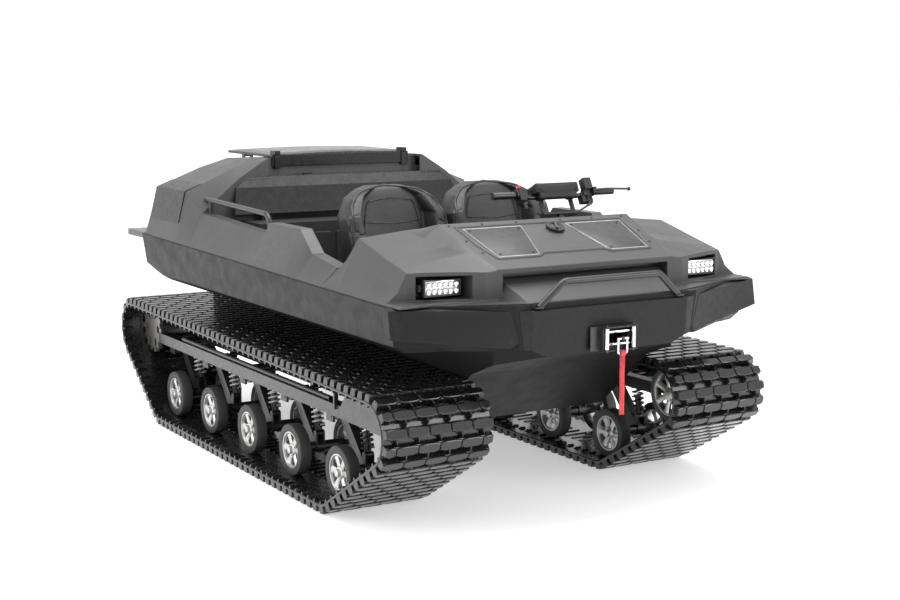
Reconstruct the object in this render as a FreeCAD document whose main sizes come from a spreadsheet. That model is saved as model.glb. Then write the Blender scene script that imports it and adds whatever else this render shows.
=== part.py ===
"""Amphibious tracked all-terrain vehicle, as a parametric FreeCAD document.

Millimetres. +X points forward, +Y to the vehicle's left, +Z up. The origin is on the ground, under
the middle of the vehicle's bounding box. Right-hand pieces (-Y) are drawn and left-hand ones are
their mirror images. Every size is a cell of the sheet "dims", and expressions name those cells.
"""
import FreeCAD, Part
import math
import os
import re
import Sketcher

Vector = FreeCAD.Vector
Rotation = FreeCAD.Rotation
doc = FreeCAD.newDocument("tracked_vehicle")
sheet = doc.addObject("Spreadsheet::Sheet", "dims")

# ---------------------------------------------------------------------------------------------
# Driving dimensions
# ---------------------------------------------------------------------------------------------
DIMS = {
    # whole vehicle
    "half_long": 1780, "half_wide": 1020, "wall": 12, "run": 0.06, "gap": 0.5,
    # running gear, measured from the middle plane
    "belt_wide": 528, "belt_thick": 12, "lug_tall": 33, "lug_pitch": 64, "lug_foot": 30, "lug_top": 16,
    "belt_clear": 2, "wheel_first_x": 930, "wheel_pitch": 500, "wheel_z": 170, "wheel_rad": 123,
    "wheel_wide": 60, "wheel_out_y": 890, "wheel_in_y": 600, "tyre_thick": 34, "rim_web": 12,
    "hub_rad": 34, "axle_rad": 15, "rim_hole_rad": 22, "rim_hole_at": 57, "hub_proud": 8,
    "sprocket_x": -1485, "sprocket_z": 480, "sprocket_rad": 139, "sprocket_root": 118,
    "tooth_wide": 34, "tooth_tip": 16, "sprocket_thick": 24, "drum_rad": 62, "drive_axle_rad": 20,
    "idler_x": 1395, "idler_z": 450, "idler_rad": 129, "idler_thick": 46,
    # suspension
    "pivot_back": 210, "pivot_z": 393, "pivot_rad": 22, "arm_mid_y": 767, "arm_thick": 46,
    "boss_wide": 100, "boss_wall": 12, "arm_eye_x": 10, "arm_eye_z": 236, "eye_rad": 8,
    "eye_wall": 7, "eye_wide": 26, "fork_thick": 8, "strut_back": 38, "strut_top_z": 452,
    "coil_rad": 31, "coil_wire": 4.5, "coil_turns": 6, "damper_rad": 17, "rod_rad": 7,
    # track frame
    "beam_side": 56, "beam_out_y": 878, "beam_in_y": 650, "beam_low_z": 418, "beam_front_x": 1230,
    "beam_rear_x": -1340, "rail_rad": 12, "rail_front_x": 810, "rail_rear_x": -1000,
    "cheek_thick": 10, "hull_flange": 130, "flange_thick": 10, "cross_rad": 20,
    "name_plate_rear_x": 960, "name_plate_top_z": 530, "post_x": 890, "tension_rad": 19, "tension_z": 555,
    # hull tub
    "tub_mid_wide": 480, "tub_low_z": 350, "keel_rear_x": -1560, "keel_rear_z": 420, "keel_stern_z": 842,
    "keel_heel_x": -1380,
    "stern_x": -1500, "chine_x": -1210, "tub_bow_low_x": 1000,
    "tub_bow_mid_x": 1351, "tub_bow_mid_z": 644, "tub_bow_top_x": 1528, "tub_bow_top_z": 714,
    "tub_nose_x": 1705, "tub_nose_z": 764,
    "sponson_low_z": 792,
    "seam_wide": 950, "seam_rear_z": 1035, "seam_front_z": 988, "seam_rear_x": -1440,
    "seam_corner_x": 1470, "seam_nose_x": 1700, "nose_half": 405, "stern_half": 880,
    # deck: front cowl
    "cowl_rear_x": 840, "dash_x": 1130, "dash_z": 1279, "dash_half": 516, "hood_front_x": 1539,
    "hood_front_z": 1121, "hood_front_half": 464, "pod_rear_x": 991, "pod_rear_z": 1223,
    "pod_half": 835, "pod_in_z": 1246, "pod_in_half": 600, "crease_x": 1250, "crease_z": 1162,
    "nose_front_x": 1685,
    "nose_recess": 70,
    # deck: sills
    "sill_in": 800, "sill_top_half": 862, "sill_rear_z": 1200, "sill_mid_z": 1165, "sill_mid_x": -40,
    "block_rear_x": 110, "block_front_x": 460, "block_z": 1218, "dip_x": 587, "dip_z": 1116,
    "sill_front_z": 1080, "sill_rear_x": -800, "shelf_z": 842, "rail_hole_rad": 5.5, "rail_hole_y": 832,
    # deck: rear housing
    "house_rear_x": -1440, "house_rear_z": 1060, "house_top_rear_x": -1380, "house_edge_z": 1300,
    "house_edge_half": 878, "house_mid_half": 620, "house_mid_z": 1400, "house_top_half": 450,
    "house_top_z": 1450, "house_pillar_x": -935, "house_front_x": -750, "house_front_z": 1475,
    "house_front_half": 486, "bay_front_x": -840, "bay_rear_x": -1350, "bay_half": 400,
    # engine lid
    "lid_front_x": -818, "lid_rear_x": -1420, "lid_half": 425, "lid_thick": 28, "lid_top_z": 1506,
    "lid_lip_z": 1428, "hinge_rad": 9, "hinge_x": -1395, "hinge_z": 1464, "latch_y": 395,
    # bumper
    "bumper_x": 1722, "bumper_top_z": 964, "bumper_low_z": 809, "bumper_half": 405,
    "bumper_foot_z": 764, "bumper_foot_half": 328, "bumper_thick": 6,
    "wing_out_x": 1509, "wing_out_y": 973, "wing_out_top_z": 982, "wing_out_low_x": 1530,
    "wing_out_low_z": 865, "lip_long": 44, "lip_rise": 8,
    "bar_rad": 14, "bar_foot_y": 369, "bar_foot_z": 966, "bar_knee_y": 250, "bar_knee_z": 1079,
    "bar_x": 1705, "bar_bend": 45,
    # winch
    "winch_y": 15, "winch_z": 822, "winch_half": 150, "winch_rad": 45, "window_half": 62,
    "window_tall": 60, "plate_half": 100, "plate_tall": 104, "plate_thick": 6, "roller_rad": 10,
    "roller_reach": 29, "roller_y": 70, "roller_z": 27, "pin_rad": 5,
    "hook_drop": 62, "strap_wide": 26, "strap_low_z": 492, "strap_thick": 5,
    # lights
    "lamp_x": 1438, "lamp_y": 690, "lamp_z": 1052, "lamp_half": 92, "lamp_tall": 74, "lamp_deep": 48,
    # hood fittings
    "cap_x": 1228, "cap_y": 40, "cap_rad": 43, "cap_tall": 22, "cover_thick": 5,
    # steering
    "steer_y": 285, "steer_x": 872, "steer_z": 1345, "steer_rake": 28, "bar_half": 345,
    "handlebar_rad": 11, "grip_rad": 17, "grip_long": 120, "riser_rad": 11, "riser_half": 85,
    "column_rad": 19, "column_long": 420,
    # seats
    "seat_y": 290, "seat_half": 278, "seat_back_x": 170, "seat_top_z": 1404, "seat_pan_z": 960,
    "seat_pan_long": 470, "seat_pan_tall": 104, "seat_back_thick": 85, "seat_wing": 130,
    "seat_rake": 12, "plinth_top_z": 840,
    # rear cabin
    "locker_front_x": -510, "locker_rear_x": -745, "locker_top_z": 1150, "locker_half": 640,
    "rest_top_z": 1380, "rest_low_z": 1185, "rest_top_half": 600, "rest_low_half": 700,
    "rest_top_x": -750, "rest_low_x": -685, "rest_thick": 30,
    # handrails
    "rail_y": 818, "grab_rad": 13, "grab_rear_x": -825, "grab_front_x": 38, "grab_z": 1270,
    "grab_front_z": 1249, "grab_bend": 50,
    # rear step
    "step_half": 915, "step_top_z": 1032, "step_thick": 34, "hitch_x": -1745, "hitch_rad": 12.8,
}


def expression(text):
    """The text as a FreeCAD expression: bare names of cells get the sheet's name in front."""
    return re.sub(r"[a-z][a-z_0-9]*", lambda m: "dims." + m[0] if m[0] in DIMS else m[0], str(text))


def value(text):
    """The number that an expression of cell names gives."""
    result = sheet.evalExpression(expression(text))
    return float(getattr(result, "Value", result))


for row, (name, number) in enumerate(DIMS.items(), 1):
    sheet.set(f"A{row}", name)
    sheet.set(f"B{row}", str(number))
    sheet.setAlias(f"B{row}", name)
doc.recompute()


# ---------------------------------------------------------------------------------------------
# Helpers that make objects of the document
# ---------------------------------------------------------------------------------------------
def bind(obj, **sizes):
    """Binds properties to expressions. A double underscore in a keyword stands for a dot."""
    for name, text in sizes.items():
        obj.setExpression(name.replace("__", "."), expression(text))
    return obj


def place(obj, x=0, y=0, z=0):
    return bind(obj, Placement__Base__x=x, Placement__Base__y=y, Placement__Base__z=z)


def body(name):
    return doc.addObject("PartDesign::Body", name)


def sketch(owner, name, role, outline, offset=0):
    """A closed polygon on one of the body's origin planes. Each corner is a pair of expressions."""
    made = owner.newObject("Sketcher::SketchObject", name)
    plane = next(f for f in owner.Origin.OriginFeatures if f.Role == role)
    made.AttachmentSupport = [(plane, "")]
    made.MapMode = "FlatFace"
    made.setExpression("AttachmentOffset.Base.z", expression(offset))
    corners = [Vector(value(a), value(b), 0) for a, b in outline]
    count = len(corners)
    made.addGeometry([Part.LineSegment(corners[i], corners[(i + 1) % count]) for i in range(count)])
    made.addConstraint([Sketcher.Constraint("Coincident", i, 2, (i + 1) % count, 1) for i in range(count)])
    for i, texts in enumerate(outline):
        for kind, text, number in zip(("DistanceX", "DistanceY"), texts, corners[i]):
            index = made.addConstraint(Sketcher.Constraint(kind, -1, 1, i, 1, number))
            made.setExpression(f"Constraints[{index}]", expression(text))
    return made


def pad(owner, profile, length, midplane=False, cut=False, backwards=False):
    """A Pad of the profile, or a Pocket when cut is true."""
    kind = "Pocket" if cut else "Pad"
    made = owner.newObject("PartDesign::" + kind, profile.Name + "_" + kind.lower())
    made.Profile = profile
    made.setExpression("Length", expression(length))
    if midplane:
        made.Midplane = True
    if backwards:
        made.Reversed = True
    doc.recompute()
    return made


def loft(owner, name, role, stations, cut=False):
    """A ruled loft through (offset, outline) stations, added to the body or cut from it."""
    profiles = [sketch(owner, f"{name}_{i}", role, outline, at) for i, (at, outline) in enumerate(stations)]
    kind = "SubtractiveLoft" if cut else "AdditiveLoft"
    made = owner.newObject("PartDesign::" + kind, name)
    made.Profile = profiles[0]
    made.Sections = profiles[1:]
    made.Ruled = True
    doc.recompute()
    return made


def box(name, low, high):
    """A Part::Box between two corners, each three expressions."""
    made = doc.addObject("Part::Box", name)
    bind(made, Length=f"({high[0]}) - ({low[0]})", Width=f"({high[1]}) - ({low[1]})",
         Height=f"({high[2]}) - ({low[2]})")
    return place(made, *low)


AXES = {"x": Rotation(Vector(0, 1, 0), 90), "y": Rotation(Vector(1, 0, 0), -90), "z": Rotation()}


def rod(name, radius, length, at, axis="y"):
    """A cylinder from the point at, along +X, +Y or +Z."""
    made = doc.addObject("Part::Cylinder", name)
    made.Placement = FreeCAD.Placement(Vector(), AXES[axis])
    bind(made, Radius=radius, Height=length)
    return place(made, *at)


def ring(name, outer, inner, length, at, axis="y"):
    """A tube: a cylinder with a bore right through it."""
    return cut(name, rod(name + "_out", outer, length, at, axis),
               rod(name + "_in", inner, length, at, axis))


def fuse(name, parts):
    made = doc.addObject("Part::MultiFuse", name)
    made.Shapes = parts
    return made


def cut(name, base, tool):
    made = doc.addObject("Part::Cut", name)
    made.Base = base
    made.Tool = tool
    return made


def group(name, parts, x=0, y=0, z=0):
    """Separate solids kept together in one object, moved to a place."""
    made = doc.addObject("Part::Compound", name)
    made.Links = parts
    return place(made, x, y, z)


def mirror(name, source):
    """The left-hand image of a right-hand object."""
    made = doc.addObject("Part::Mirroring", name)
    made.Source = source
    made.Normal = Vector(0, 1, 0)
    return made


def shaped(name, shape):
    """A Part::Feature for a shape that no parametric feature makes."""
    made = doc.addObject("Part::Feature", name)
    made.Shape = shape
    return made


def bent_tube(name, points, radius, bend, bore=0):
    """A tube along straight runs joined by tangent arcs of one bend radius."""
    corners = [Vector(*[value(c) for c in p]) for p in points]
    edges, start = [], corners[0]
    for before, here, after in zip(corners, corners[1:], corners[2:]):
        back, ahead = (before - here).normalize(), (after - here).normalize()
        half = back.getAngle(ahead) / 2
        reach = value(bend) / math.tan(half)
        first, last = here + back * reach, here + ahead * reach
        middle = here + (back + ahead).normalize() * (value(bend) / math.sin(half) - value(bend))
        edges += [Part.LineSegment(start, first).toShape(), Part.Arc(first, middle, last).toShape()]
        start = last
    edges.append(Part.LineSegment(start, corners[-1]).toShape())
    spine = Part.Wire(edges)
    along = corners[1] - corners[0]
    profile = Part.Wire([Part.makeCircle(value(radius), corners[0], along)])
    return shaped(name, spine.makePipeShell([profile], True, False))


NODES = {}


def node(label, made):
    """Names a finished sub-part: its file takes this label."""
    made.Label = label
    NODES[label] = made
    return made




def trimmed(made, *neighbours):
    """The sub-part cut back to the finished sub-parts that it is fixed to."""
    for neighbour in neighbours:
        made = cut(f"{made.Name}_by_{neighbour}", made, NODES[neighbour])
    return made


def both_sides(label, right):
    """The right-hand sub-part and its left-hand mirror image, as two nodes."""
    node(label + "_right", right)
    node(label + "_left", mirror(label.replace("-", "_") + "_l", right))


# ---------------------------------------------------------------------------------------------
# Rubber track: one endless moulded belt around the sprocket, the outer road wheels and the idler
# ---------------------------------------------------------------------------------------------
def wrapped(extra):
    """The circles that the belt wraps, clockwise seen from the right, grown by extra."""
    grow = value("belt_clear") + extra
    return [
        (value("sprocket_x"), value("sprocket_z"), value("sprocket_rad") + grow),
        (value("idler_x"), value("idler_z"), value("idler_rad") + grow),
        (value("wheel_first_x"), value("wheel_z"), value("wheel_rad") + grow),
        (value("wheel_first_x - 4 * wheel_pitch"), value("wheel_z"), value("wheel_rad") + grow),
    ]


def stretches(circles):
    """Straight and round stretches of the belt line: (kind, length, data), going clockwise."""
    after = circles[1:] + circles[:1]
    normals = []
    for (ax, az, ar), (bx, bz, br) in zip(circles, after):
        span, slope = math.hypot(bx - ax, bz - az), math.atan2(bz - az, bx - ax)
        normals.append(slope + math.acos((ar - br) / span))
    found = []
    for (ax, az, ar), (bx, bz, br), angle, following in zip(circles, after, normals,
                                                            normals[1:] + normals[:1]):
        start = (ax + ar * math.cos(angle), az + ar * math.sin(angle))
        end = (bx + br * math.cos(angle), bz + br * math.sin(angle))
        found.append(("line", math.dist(start, end), (start, end, angle)))
        found.append(("arc", (angle - following) % (2 * math.pi) * br, (bx, bz, br, angle)))
    return found


def along(line, distance):
    """The x, z and outward normal angle at a distance along the belt line."""
    distance %= sum(piece[1] for piece in line)
    for kind, length, data in line:
        if distance <= length:
            break
        distance -= length
    if kind == "line":
        (ax, az), (bx, bz), angle = data
        share = distance / length
        return ax + (bx - ax) * share, az + (bz - az) * share, angle
    cx, cz, radius, angle = data
    angle -= distance / radius
    return cx + radius * math.cos(angle), cz + radius * math.sin(angle), angle


def on_edge(x, z):
    """A point in the plane of the track's outer edge."""
    return Vector(x, -value("half_wide"), z)


def inside_wire(line):
    """The belt's smooth inner line as a wire."""
    runs = [data for kind, _, data in line if kind == "line"]
    turns = [(length, data) for kind, length, data in line if kind == "arc"]
    edges = []
    for run, following, (length, (cx, cz, radius, angle)) in zip(runs, runs[1:] + runs[:1], turns):
        middle = angle - length / radius / 2
        through = on_edge(cx + radius * math.cos(middle), cz + radius * math.sin(middle))
        edges.append(Part.LineSegment(on_edge(*run[0]), on_edge(*run[1])).toShape())
        edges.append(Part.Arc(on_edge(*run[1]), through, on_edge(*following[0])).toShape())
    return Part.Wire(edges)


def outside_wire(line):
    """The belt's outer line with a row of tapered lugs."""
    count = round(sum(piece[1] for piece in line) / value("lug_pitch"))
    step = sum(piece[1] for piece in line) / count
    foot, top, tall = value("lug_foot") / 2, value("lug_top") / 2, value("lug_tall")
    edges = []
    for number in range(count):
        x, z, angle = along(line, number * step)
        crest = on_edge(x + tall * math.cos(angle), z + tall * math.sin(angle))
        side = Vector(math.sin(angle), 0, -math.cos(angle)) * top
        start, end, through, following = (
            on_edge(*along(line, number * step + shift)[:2]) for shift in (-foot, foot, step / 2,
                                                                           step - foot)
        )
        bulge = ((end + following) * 0.5 - through).Length
        edges.append(Part.LineSegment(start, crest - side).toShape())
        edges.append(Part.LineSegment(crest - side, crest + side).toShape())
        edges.append(Part.LineSegment(crest + side, end).toShape())
        between = Part.Arc(end, through, following) if bulge > 0.02 else Part.LineSegment(end, following)
        edges.append(between.toShape())
    return Part.Wire(edges)


def belt_shape():
    wires = [outside_wire(stretches(wrapped(value("belt_thick")))), inside_wire(stretches(wrapped(0)))]
    return Part.makeFace(wires, "Part::FaceMakerBullseye").extrude(Vector(0, value("belt_wide"), 0))


both_sides("track_belt", shaped("track_belt", belt_shape()))

# ---------------------------------------------------------------------------------------------
# Road wheels, swing arms and coil-overs. Each is drawn about its axle, then set at its station
# ---------------------------------------------------------------------------------------------
STATIONS = [f"wheel_first_x - {number} * wheel_pitch" for number in range(5)]


def holes(name, count, radius, at, low, high, phase=0.0):
    """Bores along Y on a circle around the origin."""
    bores = []
    for number in range(count):
        turn = 360.0 * number / count + phase
        x, z = f"({at}) * cos({turn})", f"({at}) * sin({turn})"
        bores.append(rod(f"{name}_{number}", radius, f"({high}) - ({low})", (x, low, z)))
    return bores


def road_wheel(name, middle, cap):
    """One wheel: tyre, dished web with round windows and a hub closed at its cap side (-1 or 1)."""
    inner, outer = f"-{middle} - wheel_wide / 2", f"-{middle} + wheel_wide / 2"
    low = f"{inner} - hub_proud" if cap < 0 else inner
    web = f"{inner} + 8" if cap < 0 else f"{outer} - 8 - rim_web"
    bore_low = f"{inner} + 4" if cap < 0 else f"{inner} - 1"
    solid = fuse(name + "_solid", [
        ring(name + "_tyre", "wheel_rad", "wheel_rad - tyre_thick", "wheel_wide", (0, inner, 0)),
        rod(name + "_web", "wheel_rad - tyre_thick + 1", "rim_web", (0, web, 0)),
        rod(name + "_hub", "hub_rad", "wheel_wide + hub_proud", (0, low, 0)),
    ])
    bores = holes(name + "_window", 6, "rim_hole_rad", "rim_hole_at + 4", f"{web} - 1",
                  f"{web} + rim_web + 1", 30)
    bores.append(rod(name + "_bore", "axle_rad + run", "wheel_wide - 3", (0, bore_low, 0)))
    return cut(name, solid, fuse(name + "_bores", bores))


wheel_pair = [road_wheel("wheel_outer", "wheel_out_y", -1), road_wheel("wheel_inner", "wheel_in_y", 1)]

arm = body("arm_plate")
pad(arm, sketch(arm, "arm_side", "XZ_Plane", [
    ("-pivot_back - 20", "pivot_z - wheel_z - 19"), ("-pivot_back + 20", "pivot_z - wheel_z + 19"),
    ("22", "21"), ("-22", "-21"),
], "arm_mid_y"), "arm_thick", midplane=True)
ear_low, ear_high = "-arm_mid_y - arm_thick / 2", "-arm_mid_y + arm_thick / 2 - fork_thick"
ears = []
for number, low in enumerate((ear_low, ear_high)):
    at = ("arm_eye_x - eye_rad - eye_wall", low, "0")
    to = ("arm_eye_x + eye_rad + eye_wall", f"{low} + fork_thick", "arm_eye_z - wheel_z")
    ears.append(box(f"ear_{number}", at, to))
    ears.append(rod(f"ear_end_{number}", "eye_rad + eye_wall", "fork_thick",
                    ("arm_eye_x", low, "arm_eye_z - wheel_z")))
arm_solid = fuse("arm_solid", [
    arm,
    rod("arm_foot", "axle_rad + 15", "arm_thick", (0, "-arm_mid_y - arm_thick / 2", 0)),
    rod("arm_boss", "pivot_rad + boss_wall", "boss_wide",
        ("-pivot_back", "-arm_mid_y - boss_wide / 2", "pivot_z - wheel_z")),
    rod("arm_sleeve", "axle_rad + 9", "wheel_out_y - wheel_in_y - wheel_wide - 8",
        (0, "-wheel_out_y + wheel_wide / 2 + 4", 0)),
    rod("arm_axle", "axle_rad", "wheel_out_y - wheel_in_y + 44", (0, "-wheel_out_y - 22", 0)),
    rod("arm_eye_pin", "eye_rad", "arm_thick",
        ("arm_eye_x", "-arm_mid_y - arm_thick / 2", "arm_eye_z - wheel_z")),
] + ears)
arm_bore = rod("arm_bore", "pivot_rad + run", "boss_wide + 2",
               ("-pivot_back", "-arm_mid_y - boss_wide / 2 - 1", "pivot_z - wheel_z"))
swing_arm = cut("swing_arm", arm_solid, arm_bore)

# the strut is drawn upright from its lower eye, then leaned back
strut_long = math.hypot(value("strut_back"), value("strut_top_z - arm_eye_z"))
strut_lean = -math.degrees(math.atan2(value("strut_back"), value("strut_top_z - arm_eye_z")))


def strut_eye(name, z):
    out = rod(name + "_out", "eye_rad + eye_wall", "eye_wide", (0, "-eye_wide / 2", z))
    return cut(name, out, rod(name + "_in", "eye_rad + run", "eye_wide + 2", (0, "-eye_wide / 2 - 1", z)))


def coil_shape():
    """The wound spring, around +Z between its two seats."""
    low, high = 40, strut_long - 34
    radius, wire = value("coil_rad - coil_wire"), value("coil_wire")
    spine = Part.makeHelix((high - low) / value("coil_turns"), high - low, radius)
    profile = Part.Wire([Part.makeCircle(wire, Vector(radius, 0, 0), Vector(0, 1, 0))])
    made = Part.Wire(spine.Edges).makePipeShell([profile], True, True)
    made.translate(Vector(0, 0, low))
    return made


strut_core = fuse("strut_core", [
    strut_eye("strut_foot", 0),
    strut_eye("strut_head", f"{strut_long}"),
    rod("strut_neck", 10, 18, (0, 0, "eye_rad + 1"), "z"),
    rod("strut_damper", "damper_rad", 84, (0, 0, 26), "z"),
    rod("strut_low_seat", "coil_rad + 1", 6, (0, 0, 28), "z"),
    rod("strut_rod", "rod_rad", f"{strut_long} - 109 - eye_rad - 1", (0, 0, 109), "z"),
    rod("strut_high_seat", "coil_rad + 1", 6, (0, 0, f"{strut_long} - 28"), "z"),
])
strut_upright = group("strut_upright", [strut_core, shaped("strut_coil", coil_shape())])
struts = []
for number, x in enumerate(STATIONS, 1):
    pieces = group(f"axle_set_{number}", wheel_pair, x=x, z="wheel_z")
    node(f"road_wheel_right_{number}", pieces)
    node(f"road_wheel_left_{number}", mirror(f"wheel_mirror_{number}", pieces))
    placed = group(f"arm_set_{number}", [swing_arm], x=x, z="wheel_z")
    node(f"swing_arm_right_{number}", placed)
    node(f"swing_arm_left_{number}", mirror(f"arm_mirror_{number}", placed))
    strut = group(f"strut_{number}", [strut_upright])
    strut.Placement = FreeCAD.Placement(Vector(), Rotation(Vector(0, 1, 0), strut_lean))
    struts.append(place(strut, f"{x} + arm_eye_x", "-arm_mid_y", "arm_eye_z"))
struts_right = group("struts_right", struts)
node("coilovers", group("struts_both", [struts_right, mirror("struts_left", struts_right)]))

# ---------------------------------------------------------------------------------------------
# Drive sprocket and idler
# ---------------------------------------------------------------------------------------------
def toothed_disc(name, low):
    """A disc with trapezoid teeth and six round windows, about the sprocket's axle."""
    count = round(2 * math.pi * value("sprocket_rad") / value("lug_pitch"))
    root, tip = value("sprocket_root"), value("sprocket_rad")
    foot, top = value("tooth_wide") / 2 / root, value("tooth_tip") / 2 / tip
    points = []
    for number in range(count):
        middle = 2 * math.pi * number / count
        for radius, angle in ((root, -foot), (tip, -top), (tip, top), (root, foot)):
            points.append(Vector(radius * math.cos(middle + angle), 0, radius * math.sin(middle + angle)))
    disc = Part.Face(Part.makePolygon(points + points[:1])).extrude(Vector(0, value("sprocket_thick"), 0))
    blank = place(shaped(name + "_blank", disc), y=low)
    windows = holes(name + "_window", 6, 20, "drum_rad + 26", f"{low} - 1", f"{low} + sprocket_thick + 1")
    return cut(name, blank, fuse(name + "_windows", windows))


sprocket = group("sprocket", [fuse("sprocket_solid", [
    toothed_disc("disc_outer", "-wheel_out_y"),
    toothed_disc("disc_inner", "-wheel_in_y - sprocket_thick / 2"),
    rod("sprocket_drum", "drum_rad", "wheel_out_y - wheel_in_y", (0, "-wheel_out_y", 0)),
    rod("sprocket_axle", "drive_axle_rad", "wheel_in_y - 515", (0, "-wheel_in_y", 0)),
])], "sprocket_x", 0, "sprocket_z")
both_sides("drive_sprocket", sprocket)

IDLER_OUT, IDLER_IN = 815, 594


def idler_wheel(name, middle):
    low = f"-{middle} - idler_thick / 2"
    solid = fuse(name + "_solid", [
        ring(name + "_tread", "idler_rad", "idler_rad - 24", "idler_thick", (0, low, 0)),
        rod(name + "_web", "idler_rad - 23", 12, (0, f"{low} + 17", 0)),
        rod(name + "_hub", 32, "idler_thick", (0, low, 0)),
    ])
    windows = holes(name + "_window", 7, 20, 68, f"{low} + 16", f"{low} + 30")
    return cut(name, solid, fuse(name + "_windows", windows))


idler = group("idler", [fuse("idler_solid", [
    idler_wheel("idler_outer", IDLER_OUT),
    idler_wheel("idler_inner", IDLER_IN),
    rod("idler_axle", "axle_rad", 350, (0, -926, 0)),
])], "idler_x", 0, "idler_z")
both_sides("idler", idler)

# ---------------------------------------------------------------------------------------------
# Track frame: two long box beams, their cross tubes, arm pivots, idler cheeks and belt tensioner
# ---------------------------------------------------------------------------------------------
BEAM_MID_Z = "beam_low_z + beam_side / 2"


def beam(name, middle):
    low, high = f"-{middle} - beam_side / 2", f"-{middle} + beam_side / 2"
    outer = box(name + "_skin", ("beam_rear_x", low, "beam_low_z"),
                ("beam_front_x", high, "beam_low_z + beam_side"))
    inner = box(name + "_bore", ("beam_rear_x - 1", f"{low} + 4", "beam_low_z + 4"),
                ("beam_front_x + 1", f"{high} - 4", "beam_low_z + beam_side - 4"))
    return cut(name, outer, inner)


def cheek(name, low, outline):
    """A plate in front of a beam, bored for the idler's axle."""
    plate = body(name)
    pad(plate, sketch(plate, name + "_side", "XZ_Plane", outline, f"-({low})"), "cheek_thick",
        backwards=True)
    bore = rod(name + "_bore", "axle_rad + run", "cheek_thick + 2", ("idler_x", f"{low} - 1", "idler_z"))
    return cut(name + "_bored", plate, bore)


OUTER_FACE, INNER_FACE = "-beam_out_y - beam_side / 2", "-beam_in_y - beam_side / 2"
frame_parts = [
    beam("beam_outer", "beam_out_y"),
    beam("beam_inner", "beam_in_y"),
    ring("beam_rail", "rail_rad", "rail_rad - 3", "rail_front_x - rail_rear_x",
         ("rail_rear_x", "-beam_out_y - 8", "beam_low_z + beam_side + rail_rad - 1"), "x"),
    cheek("cheek_outer", f"{OUTER_FACE} - cheek_thick", [
        ("name_plate_rear_x", "beam_low_z + 12"), ("name_plate_rear_x", "beam_low_z + beam_side + 2"),
        ("name_plate_rear_x + 44", "name_plate_top_z"), ("idler_x - 30", "name_plate_top_z"),
        ("idler_x + 44", "idler_z + 40"), ("idler_x + 44", "idler_z - 40"),
        ("idler_x - 60", "beam_low_z + 2"),
    ]),
    cheek("cheek_inner", f"{INNER_FACE} - cheek_thick", [
        ("beam_front_x - 120", "beam_low_z"), ("beam_front_x - 120", "beam_low_z + beam_side"),
        ("idler_x - 20", "idler_z + 46"), ("idler_x + 40", "idler_z + 30"),
        ("idler_x + 40", "idler_z - 30"), ("idler_x - 20", "idler_z - 42"),
    ]),
    box("tension_post", ("post_x", f"{OUTER_FACE} - cheek_thick", "beam_low_z + beam_side - 20"),
        ("post_x + 12", f"{OUTER_FACE} + 10", "tension_z + 18")),
    rod("tension_rod", 7, 210, ("post_x - 20", f"{OUTER_FACE} - 6", "tension_z"), "x"),
    rod("tension_tube", "tension_rad", 270, ("name_plate_rear_x + 90", f"{OUTER_FACE} - 6", "tension_z"),
        "x"),
    box("tension_saddle",
        ("name_plate_rear_x + 110", f"{OUTER_FACE} - cheek_thick", "name_plate_top_z - 4"),
        ("name_plate_rear_x + 340", f"{OUTER_FACE}", "tension_z - tension_rad + 3")),
]
for number, x in enumerate(STATIONS, 1):
    frame_parts.append(rod(f"pivot_{number}", "pivot_rad", "beam_out_y - beam_in_y - beam_side + 4",
                           (f"{x} - pivot_back", "-beam_out_y + beam_side / 2 - 2", "pivot_z")))
    frame_parts.append(rod(f"strut_pin_{number}", "eye_rad", "beam_out_y - beam_in_y - beam_side + 2",
                           (f"{x} + arm_eye_x - strut_back", "-beam_out_y + beam_side / 2 - 1",
                            "strut_top_z")))
    for side, low in (("a", "-beam_out_y + beam_side / 2"), ("b", f"{INNER_FACE} - 12")):
        frame_parts.append(box(f"hanger_{number}{side}", (f"{x} - pivot_back - 34", low, "pivot_z - 34"),
                               (f"{x} - pivot_back + 34", f"{low} + 12", "beam_low_z + beam_side")))
for number, x in enumerate(("wheel_first_x - 120", "wheel_first_x - 2.3 * wheel_pitch",
                            "beam_rear_x + 30")):
    frame_parts.append(rod(f"cross_{number}", "cross_rad", "beam_out_y - beam_in_y",
                           (x, "-beam_out_y", BEAM_MID_Z)))
    frame_parts.append(rod(f"outrigger_{number}", "cross_rad", "beam_in_y - tub_mid_wide - flange_thick",
                           (x, "-beam_in_y", BEAM_MID_Z)))
    frame_parts.append(box(f"flange_{number}",
                           (f"{x} - hull_flange / 2", "-tub_mid_wide - flange_thick", "beam_low_z - 40"),
                           (f"{x} + hull_flange / 2", "-tub_mid_wide", "beam_low_z - 40 + hull_flange")))
both_sides("track_frame", fuse("track_frame", frame_parts))
# ---------------------------------------------------------------------------------------------
# Hull tub: a narrow keel between the tracks with wide sponsons over them, open on top
# ---------------------------------------------------------------------------------------------
def symmetric(half):
    """The whole closed outline from the left half, given from the bottom to the top."""
    return half + [(f"-({y})", z) for y, z in reversed(half)]


def seam(x):
    """Height of the joint between tub and deck at x."""
    return f"seam_rear_z + (({x}) - (seam_rear_x)) * (seam_front_z - seam_rear_z) / (seam_corner_x - (seam_rear_x))"


def sections(rows):
    return [(x, symmetric(half)) for x, half in rows]


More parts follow.
